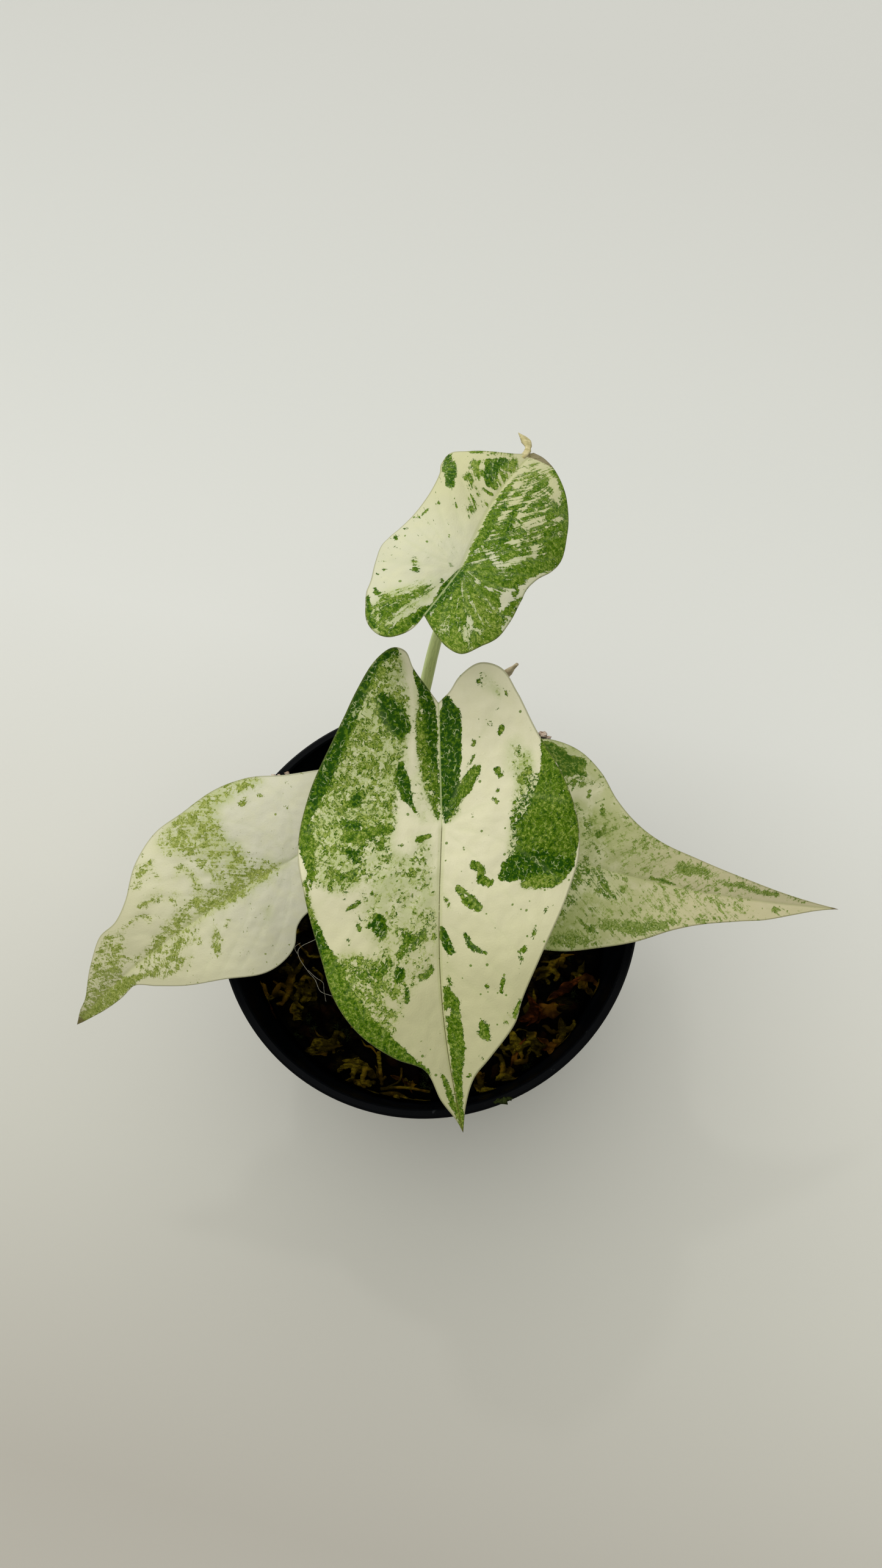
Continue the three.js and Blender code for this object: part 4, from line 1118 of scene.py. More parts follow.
def variegation_group():
    # Green tissue in torn islands of small angular cells, over cream with a green haze
    group = bpy.data.node_groups.new("variegated tissue", "ShaderNodeTree")
    add_sockets(group, "Color", "INPUT", "Cream", "Far cream and shade", "Haze", "Pale green", "Green", "Deep green")
    add_sockets(group, "Float", "INPUT", "Raggedness", "Streakiness", "Speck share", "Midrib width",
                "Midrib line")
    add_sockets(group, "Color", "OUTPUT", "Color")
    add_sockets(group, "Float", "OUTPUT", "Roughness", "Height")
    given = group.nodes.new("NodeGroupInput").outputs
    # The helpers from above, bound to this group
    multiply, add, subtract, multiply_add = (
        partial(calculate, group, operation) for operation in ("MULTIPLY", "ADD", "SUBTRACT", "MULTIPLY_ADD"))
    mix, ease, grains = (partial(helper, group) for helper in (mix_colours, fade, speckle))
    out, place, _ = named_attribute(group, "veins")
    share, depth, haze = named_attribute(group, "paint")
    along, across, edge = named_attribute(group, "flat")
    under, forward, vein = named_attribute(group, "form")
    side = multiply(calculate(group, "GREATER_THAN", across, 0.0), SIDE_SHIFT)
    grain = join_vector(group, multiply(out, 0.5), place, side)
    plain = join_vector(group, along, across, 5.0)
    drift = place_node(group, "ShaderNodeTexNoise", {"Vector": plain, "Scale": 0.9, "Detail": 2.0})
    swirls = {0: drift.outputs["Color"], 1: (1.6, 1.6, 0.0), 2: plain}
    swirl = place_node(group, "ShaderNodeVectorMath", swirls, operation="MULTIPLY_ADD").outputs[0]

    # Islands: the green share is set against noise that is read cell by cell
    coarse = cells(group, swirl, LARGE_CELLS)
    cell_draw, second_cell_draw = draws(group, coarse["Color"])
    fine_draw, second_fine_draw = draws(group, cells(group, swirl, SMALL_CELLS)["Color"])
    islands = grains(coarse["Position"], ISLAND_WAVES, 4, 0.6, 0.3)
    blots = grains(plain, BLOT_WAVES, 4, 0.65, 0.4)
    clouds = grains(plain, CLOUD_WAVES, 4, 0.6)
    weave = multiply_add(islands, 0.36, multiply(blots, 0.24))
    weave = multiply_add(clouds, 0.2, weave)
    weave = multiply_add(cell_draw, 0.09, weave)
    weave = multiply_add(fine_draw, 0.08, weave)
    long_grain = join_vector(group, multiply(out, 0.13), place, side)
    streaks = subtract(grains(long_grain, STREAK_WAVES, 4, 0.65, 0.3), 0.5)
    weave = multiply_add(streaks, given["Streakiness"], weave)
    torn = multiply(subtract(weave, MIDDLE_OF_WEAVE), given["Raggedness"])
    level = subtract(subtract(share, 0.5), torn)
    green = ease(level, -0.05, 0.05)

    # Depth of the green: darker along its torn edges, uneven from cell to cell
    tone = add(depth, ease(level, 0.0, 0.3, 0.7, 0.0))
    tone = add(tone, ease(blots, 0.3, 0.7, -0.4, 0.4))
    tone = add(tone, multiply_add(second_fine_draw, 0.4, -0.2))
    greens = mix(ease(tone, 0.0, 0.55), given["Pale green"], given["Green"])
    greens = mix(ease(tone, 0.5, 1.1), greens, given["Deep green"])

    # Dark seams between the cells of the lighter green, and pale scratches in the darkest
    seams = ease(cells(group, swirl, SEAM_CELLS, "DISTANCE_TO_EDGE")["Distance"], 0.12, 0.03)
    seams = multiply(seams, ease(depth, 0.9, 0.5, 0.0, 0.6))
    greens = mix(seams, greens, given["Deep green"])
    crack = cells(group, swirl, CRACK_CELLS, "DISTANCE_TO_EDGE")["Distance"]
    kept = grains(grain, 1.3, 3)
    scratches = multiply(ease(crack, 0.07, 0.02), ease(kept, 0.48, 0.6))
    scratches = multiply(scratches, ease(depth, 0.4, 0.8))
    greens = mix(multiply(scratches, 0.75), greens, given["Haze"])

    # Cream: faint warm clouds, and a blotched green haze where the paint asks for it
    mist = multiply(haze, ease(clouds, 0.36, 0.6, 0.4, 1.0))
    mist = calculate(group, "MINIMUM", mist, 1.0)
    tissue = mix(mist, given["Cream"], given["Haze"])
    tissue = mix(ease(clouds, 0.4, 0.7, 0, 0.25), tissue, WARM_CREAM)
    # Towards the tip the cream turns to the far cream: a yellower tint, and darker as painted shade where the
    # blade bends away from the light
    tissue = mix(ease(forward, 0.0, 0.55, 0, 0.88), tissue, given["Far cream and shade"])
    half_tone = ease(multiply_add(second_cell_draw, 0.15, level), -0.35, 0.0)
    half_tone = multiply(multiply(half_tone, haze), 0.75)
    tissue = mix(half_tone, tissue, given["Pale green"])

    # Small dark specks where a little green survives
    speck_cells = cells(group, plain, SPECK_CELLS)
    draw, second_draw = draws(group, speck_cells["Color"])
    wobble = multiply_add(blots, 0.2, -0.1)
    distance = add(speck_cells["Distance"], wobble)
    speck = ease(multiply_add(draw, -0.2, distance), 0.02, -0.02)
    marks = multiply(speck, calculate(group, "LESS_THAN", second_draw, given["Speck share"]))
    tissue = mix(multiply(marks, 0.85), tissue, given["Green"])
    colour = mix(green, tissue, greens)

    # Veins: a pale midrib with a fine dark line, faint side veins and a thin line at the
    # margin. The very point of the blade is dry and brown.
    reach = calculate(group, "ABSOLUTE", across)
    narrow = multiply(ease(forward, 0, 1, 1.0, 0.5), given["Midrib width"])
    ahead = ease(along, -1.5, 0.5)
    band = multiply(ease(calculate(group, "DIVIDE", reach, narrow), 1.1, 0.4), ahead)
    colour = mix(multiply(band, 0.22), colour, given["Pale green"])
    line = multiply(ease(reach, 0.16, 0.07), ease(blots, 0.3, 0.42))
    line = multiply(multiply(line, ahead), given["Midrib line"])
    colour = mix(line, colour, MIDRIB_DARK)
    seam = multiply(ease(reach, 0.26, 0.1), subtract(1.0, ahead))
    colour = mix(multiply(seam, 0.7), colour, given["Haze"])
    colour = mix(multiply(vein, 0.1), colour, given["Haze"])
    colour = mix(ease(edge, 0.32, 0.1, 0, 0.4), colour, MARGIN_BROWN)
    colour = mix(ease(forward, 0.975, 0.99, 0, 0.7), colour, DRY_BROWN)

    # The underside is duller and paler
    below = mix(0.5, colour, given["Haze"])
    colour = mix(ease(under, 0.4, 0.6), colour, below)
    made = group.nodes.new("NodeGroupOutput").inputs
    group.links.new(colour, made["Color"])
    group.links.new(ease(blots, 0.3, 0.7, 0.36, 0.48), made["Roughness"])
    group.links.new(grains(plain, 2.6, 3, 0.6), made["Height"])
    return group


variegated_tissue = variegation_group()


def blade_material(name, looks):
    # The looks are values for the sockets of the tissue
    material, tree, shader = new_material(name)
    inputs = {socket: (*value, 1) if isinstance(value, tuple) else value for socket, value in looks.items()}
    tissue = place_node(tree, "ShaderNodeGroup", inputs, node_tree=variegated_tissue)
    tree.links.new(tissue.outputs["Color"], shader.inputs["Base Color"])
    tree.links.new(tissue.outputs["Roughness"], shader.inputs["Roughness"])
    shader.inputs["Specular IOR Level"].default_value = WAX_SHEEN
    add_bump(tree, shader, tissue.outputs["Height"], 0.00006)
    return material


STRIPE_GREEN, SPOT_BROWN = (0.12, 0.20, 0.04), (0.09, 0.06, 0.03)


def petiole_material(name, foot_colour, middle_colour, top_colour):
    material, tree, shader = new_material(name)
    length, c, s = named_attribute(tree, "stalk")
    stripes = speckle(tree, join_vector(tree, calculate(tree, "MULTIPLY", length, 0.06), c, s), 4, 3, 0.6)
    spots = speckle(tree, join_vector(tree, calculate(tree, "MULTIPLY", length, 0.5), c, s), 2.5, 4, 0.7)
    colour = mix_colours(tree, fade(tree, length, 0, 18), foot_colour, middle_colour)
    colour = mix_colours(tree, fade(tree, length, 35, 80), colour, top_colour)
    colour = mix_colours(tree, fade(tree, stripes, 0.42, 0.62, 0, 0.25), colour, STRIPE_GREEN)
    colour = mix_colours(tree, fade(tree, spots, 0.6, 0.68, 0, 0.35), colour, SPOT_BROWN)
    tree.links.new(colour, shader.inputs["Base Color"])
    shader.inputs["Roughness"].default_value = 0.42
    add_bump(tree, shader, stripes, 0.00012)
    return material


petiole_green = petiole_material("petiole_skin", (0.36, 0.30, 0.16), (0.42, 0.50, 0.17), (0.54, 0.62, 0.25))


def petiole_shape(share, angle):
    # Swollen and sheathing at the foot, lightly grooved, and flared where it meets the blade
    foot = 0.28 * (1 - smooth(share / 0.12))
    groove = -0.14 * np.exp(-((angle - math.pi / 2) / 0.35) ** 2) * (1 - smooth((share - 0.85) / 0.1))
    flare = 0.35 * smooth((share - 0.94) / 0.06)
    return 1 + foot + groove + flare


def build_petiole(name, leaf, route, radius, sides=24, steps=90):
    # Follows the route to the junction, and its end is cut to fit the underside of the blade
    end = blade_point(leaf, 0, 0).tolist()
    normal = blade_normal(leaf, 0, 0)
    underside = np.array(end) - normal * PETIOLE_OVERLAP
    centres, ahead, side, other = along_route([*route, end], steps + 1)
    share = np.linspace(0, 1, steps + 1)[:, None]
    angle = np.linspace(0, 2 * math.pi, sides, endpoint=False)[None]
    size = radius[0] + (radius[1] - radius[0]) * share + 0 * angle
    size = size * petiole_shape(share, angle)
    rings = (centres[:, None] + side[:, None] * (size * np.cos(angle))[..., None]
             + other[:, None] * (size * np.sin(angle))[..., None])
    slant = ((underside - rings) @ normal) / (ahead @ normal)[:, None]
    straight = ((underside - centres) @ normal) / (ahead @ normal)
    near = smooth((share - 0.93) / 0.07)
    rings = rings + ahead[:, None] * ((slant - straight[:, None]) * near)[..., None]
    vertices = np.vstack([rings.reshape(-1, 3), [centres[0], centres[-1]]]) * MM
    petiole = mesh_object(name, vertices, closed_tube_faces(steps, sides), petiole_green)
    along = np.concatenate([np.repeat(share[:, 0], sides), [0, 1]])
    around = np.concatenate([np.tile(angle[0], steps + 1), [0, 0]])
    length = np.linalg.norm(np.diff(centres, axis=0), axis=1).sum()
    places = np.column_stack([along * length, np.cos(around), np.sin(around)])
    add_point_vectors(petiole.data, "stalk", places)
    return petiole


def build_leaf(place, leaf, ground, strokes, looks, route, radius):
    # The ground is what the tissue is before any stroke: green share, depth and haze
    material = blade_material(f"{place}_blade", looks)
    blade = build_blade(f"leaf_{place}_blade", leaf, ground, strokes, material)
    petiole = build_petiole(f"leaf_{place}_petiole", leaf, route, radius)
    for piece, slot in ((blade, "leaf_variegated"), (petiole, "petiole_green")):
        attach(piece, "root")
        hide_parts(f"leaf_{place}")


# Colours and values of the tissue, by the names of its sockets
# The front blade's far cream is much darker than its cream: painted shade on its drooping tip
FRONT_LOOKS = {
    "Cream": (0.64, 0.61, 0.42), "Far cream and shade": (0.455, 0.44, 0.24), "Haze": (0.37, 0.42, 0.19),
    "Pale green": (0.25, 0.31, 0.055), "Green": (0.078, 0.15, 0.003), "Deep green": (0.010, 0.048, 0.0),
    "Raggedness": 6.0, "Streakiness": 0.1, "Speck share": 0.42,
    "Midrib width": 1.0, "Midrib line": 0.8}
build_leaf("front", FRONT_LEAF, (-0.4, 0.4, 0.05), FRONT_STROKES, FRONT_LOOKS, route=[
    (-7.1, -1.2, 62), (-6.6, -2, 85), (-4.2, -0.5, 110), (-0.5, 1.5, 132)], radius=(2.1, 1.25))


# Left leaf: nearly all cream, drooping to the lower left, its tip run together with the
# yellow-green of its midrib. It grew as one piece with its petiole.
LEFT_LEAF = {
    "junction": (-31, 3, 116), "front": 74, "back": 25, "half": 26,
    "heading": -148, "pitch": -10, "arch": -50, "back_arch": -8, "roll": 14, "twist": 10,
    "fold": (8, 6), "cup": (-30, -34), "tip_fold": 6,
    "bow": 1, "sway": 3, "sinus": 13, "lean": 0,
    "wave": 1.2, "wave_length": 30, "wave_phase": 0,
    "vein_spread": 0.9, "vein_curve": 0.05, "vein_gap": 8,
    "right": [
        (-13, 0), (-17, 2), (-21, 4.5), (-23, 8), (-21, 11), (-16.5, 13.2), (-10, 16.3), (-3, 20.3),
        (4, 22), (13, 21.6), (21, 21.3), (28, 18.2), (34.5, 12.9), (40, 10.6), (46, 10.4), (54, 7.2),
        (64, 2.8), (70, 1.7), (77, 0)],
    "left": [
        (-13, 0), (-17, -2), (-20, -4.5), (-21, -7.5), (-17, -10.2), (-9, -12), (2, -11.8), (6, -13.2),
        (10, -17), (15, -18.7), (20, -18.5), (28, -14.5), (37.5, -10.6), (44, -6.6), (49, -3.3),
        (55, -3.4), (62, -2.8), (70, -1.4), (77, 0)],
}

# A broad faint green, and the yellow-green that runs along the midrib
STROKE_KINDS.update({"veil": (0.3, 0.1, 1.6, 2.4), "yellow": (0.62, 0.1, 0.7, 0.8)})
LEFT_STROKES = [
    ("veil", [(-4, 18.6, 0.8), (2, 20, 1.6), (8, 20, 2), (14, 19.5, 2), (20, 18.5, 1.8)],
     [(8.4, 16, 1.4), (11, 12, 3.2), (11, 8, 3.6), (12, 4, 3.6), (16, 3, 1.6)],
     [(12, 16, 3), (16, 16.5, 3), (18.6, 16.4, 2)]),
    ("mottle", [(7, 9, 0.8), (8.6, 4, 1.8), (12, 3.5, 2), (15.5, 8, 1.2), (15, 12, 1.4), (17, 14.5, 1.4)],
     [(9, 11.5, 1), (12.5, 12.5, 1.4), (11.5, 16.5, 1.6), (15, 18.5, 1.4)],
     [(-4, 18.8, 0.6), (0, 20.3, 1), (4, 20.4, 1.4), (12, 20, 1), (20, 18.8, 1)],
     [(19.5, 10.5, 1), (20.4, 11.5, 0.7), (22, 10.5, 0.5)]),
    ("flecks", [(0.1, 16.4, 0.5), (1.2, 15.8, 0.5)]),
    ("deep", [(-3, 15.2, 0.25), (-3, 15.6, 0.25)]),
    ("cream", [(16.4, 6, 0.7), (17.4, 3.4, 0.8)]),
    ("pale", [(10.5, 8, 0.6), (12.5, 7, 0.8)]),
    ("mottle", [(18.6, 9, 0.8), (19.5, 6, 1.3), (20.4, 4, 1.2)]),
    ("haze", [(1, 0.4, 0.4), (5, 1, 2.6), (12, 1.2, 3), (22, 1.8, 3), (30, 1, 3), (38, -1, 3),
      (44, 0, 2)], [(9.4, -6.6, 0.3), (11, -8.5, 0.3)]),
    ("yellow", [(3, 0.5, 0.3), (6, 0.7, 1.7), (10, 0.8, 2.1), (14, 0.9, 2.2), (17.5, 0.4, 1.6)]),
    ("mottle", [(17, 1.2, 1.4), (21, 2.8, 1.8), (25, 2.6, 1.6), (30, 1.6, 1.6), (35, 1.2, 1.2),
      (39, 0.4, 1.2)], [(26, 16, 1.2), (28, 16, 1.5), (30.5, 14.2, 1)],
     [(25.5, 12.6, 0.4), (26, 13.4, 0.4)], [(27.5, 9.6, 1), (30, 9.6, 1.2), (33, 9.8, 0.7)],
     [(24.5, 7, 0.8), (26.6, 7.6, 0.7), (25.4, 5.4, 0.6)],
     [(22, -3.6, 0.7), (23.5, -6, 1.3), (25, -8.6, 0.6)], [(27, -4, 0.8), (29, -2.6, 0.8)],
     [(28, -1, 1), (31, -2.4, 1.6), (35, -3, 1.8), (39, -3.6, 1.6), (42, -4, 1.1)],
     [(31.5, -5.6, 0.9), (34, -6.2, 1), (37, -6.4, 0.8), (41, -5.8, 0.6)],
     [(33.2, 6.6, 0.8), (34.6, 8.4, 0.6), (38, 8.3, 0.6), (43, 8.2, 0.5)],
     [(43.6, 9.6, 0.9), (45, 8, 1.5), (46.6, 7.4, 1.3)]),
    ("flecks", [(18.6, -4, 0.4), (19.6, -4.8, 0.3)]),
    ("veil", [(44, 6, 2), (50, 4, 3), (58, 1.5, 2.6), (66, 0.8, 1.4)]),
    ("mottle", [(46, 8.6, 1), (50, 6, 1.9), (55, 4.2, 2.1), (60, 2.8, 1.7), (66, 1.6, 1.2),
      (72, 0.8, 0.8)]),
    ("yellow", [(48, 2.6, 1.2), (54, 1.4, 1.8), (62, 0.8, 1.2)]),
    ("olive", [(43, -3.4, 0.7), (46, -2.4, 0.9), (50, -1.6, 1.4), (56, -1.8, 1.7), (62, -1.4, 1.4),
      (70, -0.6, 1.1), (77, 0, 0.8)])]
LEFT_LOOKS = {
    "Cream": (0.535, 0.52, 0.40), "Far cream and shade": (0.55, 0.53, 0.33), "Haze": (0.36, 0.395, 0.20),
    "Pale green": (0.31, 0.345, 0.09), "Green": (0.17, 0.215, 0.03), "Deep green": (0.08, 0.12, 0.005),
    "Raggedness": 6.5, "Streakiness": 0.3, "Speck share": 0.12,
    "Midrib width": 1.4, "Midrib line": 0.0}
build_leaf("left", LEFT_LEAF, (-0.4, 0.4, 0.06), LEFT_STROKES, LEFT_LOOKS, route=[
    (-11.2, 1.1, 62), (-13.6, 1.4, 80), (-19.5, 2, 99)], radius=(2.0, 1.2))


# Right leaf: pale yellow-green, half hidden under the front leaf, with a dark scratched
# lobe and a pinkish cream tip. It grew as one piece with its petiole.
RIGHT_LEAF = {
    "junction": (23.1, 6.6, 113), "front": 78, "back": 25, "half": 26,
    "heading": -8, "pitch": -4, "arch": -30, "back_arch": -14, "roll": -8, "twist": 0,
    "fold": (8, 10), "cup": (-30, -30), "tip_fold": 16,
    "bow": 2.9, "sway": -1.8, "sinus": 12, "lean": 0,
    "wave": 0.9, "wave_length": 30, "wave_phase": 0,
    "vein_spread": 0.9, "vein_curve": 0.03, "vein_gap": 8,
    "right": [
        (-12, 0), (-16, 2.4), (-19.5, 5.5), (-21, 9.5), (-18, 14), (-12, 17.8), (-5, 20.5), (3, 21.2),
        (10, 20.2), (18, 17.4), (26, 14.2), (34, 10), (41, 7.5), (50, 5.6), (57, 4.5), (64, 2.8),
        (72, 1), (79, 0)],
    "left": [
        (-12, 0), (-17, -2.6), (-21, -5.6), (-23, -10), (-20, -15), (-15, -19.5), (-8, -23.5), (2, -25.8),
        (8, -24.9), (13, -21.3), (17, -16), (22, -11.8), (28, -9.1), (38, -7.1), (50, -4.8), (62, -2.5),
        (72, -0.9), (79, 0)],
}

# A very soft green haze, and smaller clouds of it
STROKE_KINDS.update({"smoke": (0.0, 0.0, 1.6, 2.4), "blur": (0.12, 0.0, 1.6, 1.6)})
RIGHT_STROKES = [
    ("smoke", [(14, -9, 3), (20, -7, 5), (28, -4, 5), (38, -2, 4), (48, -1, 3)],
     [(8, 16, 4), (14, 13, 4), (22, 9, 4), (30, 6, 4), (40, 4, 4), (50, 2, 2)]),
    ("pale", [(-10, -12, 4), (0, -15, 4), (8, -15, 3.4), (12, -15, 2)]),
    ("cream", [(13, -17.6, 0.9), (10, -15, 1), (6, -13.5, 1.4), (0, -14, 2)]),
    ("haze", [(8.5, -12.4, 1.2), (9.5, -10, 1.2)]),
    ("deep", [(-12, -19, 2), (-5, -21.5, 2.4), (1, -22.6, 2.4), (5, -21, 2.2), (8.5, -22.6, 0.9)],
     [(4, -18, 0.7), (6.5, -19.8, 0.9), (9.5, -19.8, 0.4)], [(14, -6.8, 0.5), (14.1, -7.6, 0.5)],
     [(14.2, -11.9, 0.4), (14.1, -12.8, 0.5)]),
    ("torn", [(5, -16.4, 0.7), (8, -18.2, 1), (10, -18.6, 0.6)]),
    ("islet", [(6.6, -15.6, 0.3), (7.2, -16.6, 0.3)], [(8.6, -17.4, 0.35), (8.8, -18.2, 0.3)],
     [(10.6, -14.8, 0.3), (10.8, -16.2, 0.4)], [(11.2, -17.8, 0.4), (11.4, -18.2, 0.4)],
     [(13.2, -18.2, 0.25), (13.6, -18.4, 0.25)]),
    ("green", [(15, -8.2, 0.35), (15.2, -9.4, 0.25)], [(16.6, -8.9, 0.2), (17.6, -9.6, 0.2)],
     [(13.4, -5, 0.25), (15, -3, 0.25)]),
    ("mottle", [(11, -6, 0.8), (12, -8.2, 1.2), (10.6, -9, 0.8)]),
    ("torn", [(10.6, -8, 0.4), (11.8, -8.6, 0.5)],
     [(8.6, 12.4, 0.9), (9.6, 9, 1.6), (10, 5, 1.6), (11, 2, 2), (12, -0.5, 1.1)],
     [(13, 3, 2), (15.5, 1.5, 1.6), (17, 5, 2), (19.5, 5, 1.4), (20.8, 4, 0.8)]),
    ("olive", [(7.5, 18.6, 1), (11, 17.4, 1.5), (14.5, 16.4, 0.9)]),
    ("torn", [(13.6, 13.4, 0.7), (16.4, 13.8, 0.9)]),
    ("blur", [(14, 10.4, 1.4), (14, 7.4, 1.2)]),
    ("torn", [(15.2, 9.4, 0.5), (13.6, 12, 0.5)]),
    ("haze", [(20, 12, 2.4), (26, 10, 3), (34, 6, 3), (42, 3, 2.6)]),
    ("olive", [(18.5, 11.8, 1), (22, 11.6, 1.4), (26, 11, 1.6), (30, 9.6, 1.2), (34, 8.2, 0.6)]),
    ("blur", [(19, 9.8, 1.2), (23, 9.4, 1), (28, 8, 1), (36, 6.4, 0.8), (42, 6, 0.5)],
     [(22, 3, 0.8), (25, 5.4, 0.8), (28, 4, 1.2), (34, 2.6, 1.6), (40, 2, 1.8), (44, 2.4, 1.2)],
     [(21.6, -2.8, 0.7), (22.4, -5.2, 0.9), (24, -5.6, 0.7)]),
    ("deep", [(27.6, -0.6, 0.25), (30.5, -0.7, 0.35), (33.5, -0.4, 0.25)]),
    ("blur", [(31, -4, 1), (35, -2.8, 1.2), (40, -3.2, 1.4), (46, -2.8, 1.1), (52, -2.4, 0.8)]),
    ("olive", [(33, -4.2, 0.5), (36, -4.4, 0.8), (40, -4.8, 0.7)],
     [(44, -3, 0.4), (48, -3, 0.4), (52, -2.8, 0.4), (55, -2.4, 0.5), (60, -2, 0.35)]),
    ("mottle", [(47, 2, 0.6), (51, 2, 0.6)]),
    ("cream", [(56, 0.6, 1.2), (62, 0, 0.9), (70, 0, 0.9), (79, 0, 0.6)]),
    ("olive", [(59, 1.7, 0.35), (61.6, 1.6, 0.35)]),
    ("mottle", [(63, -1.6, 0.4), (68, -1, 0.4)])]
RIGHT_LOOKS = {
    "Cream": (0.54, 0.53, 0.34), "Far cream and shade": (0.49, 0.445, 0.27), "Haze": (0.24, 0.295, 0.075),
    "Pale green": (0.24, 0.29, 0.08), "Green": (0.14, 0.195, 0.025), "Deep green": (0.035, 0.09, 0.003),
    "Raggedness": 6.0, "Streakiness": 0.35, "Speck share": 0.22,
    "Midrib width": 0.9, "Midrib line": 0.12}
build_leaf("right", RIGHT_LEAF, (-0.1, 0.3, 0.75), RIGHT_STROKES, RIGHT_LOOKS, route=[
    (-4.8, 2.9, 62), (-1.5, 3.6, 82), (7.5, 5, 101)], radius=(2.0, 1.2))


# Top leaf: the newest and highest, one half green with cream streaks and the other half
# cream with green islands. It grew as one piece with its petiole.
TOP_LEAF = {
    "junction": (6.9, 48.2, 173), "front": 36, "back": 20, "half": 16,
    "heading": 66, "pitch": -4, "arch": -34, "back_arch": -16, "roll": 0, "twist": 0,
    "fold": (4, 24), "cup": (-40, -60), "tip_fold": 0,
    "bow": -0.8, "sway": 0.8, "sinus": 13, "lean": -2.2,
    "wave": 0.6, "wave_length": 16, "wave_phase": 0,
    "vein_spread": 0.8, "vein_curve": 0.03, "vein_gap": 5,
    "right": [
        (-13, 0), (-15.5, 3), (-17.3, 6.5), (-17, 9.5), (-14, 12), (-10, 14), (-5, 14), (1, 13.4),
        (5, 14.7), (10, 17), (15, 18.1), (20, 16.7), (26, 14.2), (30, 11.5), (33.5, 7.7), (36.5, 4.2),
        (38, 2), (38.5, 0)],
    "left": [
        (-13, 0), (-16.5, -0.6), (-19.5, -2), (-21.8, -4), (-22.2, -6), (-20.5, -8.8), (-16, -11.2),
        (-10, -13.4), (-5, -15.8), (-1, -17), (3, -14.9), (8, -13), (13, -12), (18, -12.4), (23, -14),
        (26.5, -13.8), (27.5, -10.5), (30, -6), (33, -3), (36, -1.2), (38.5, 0)],
}

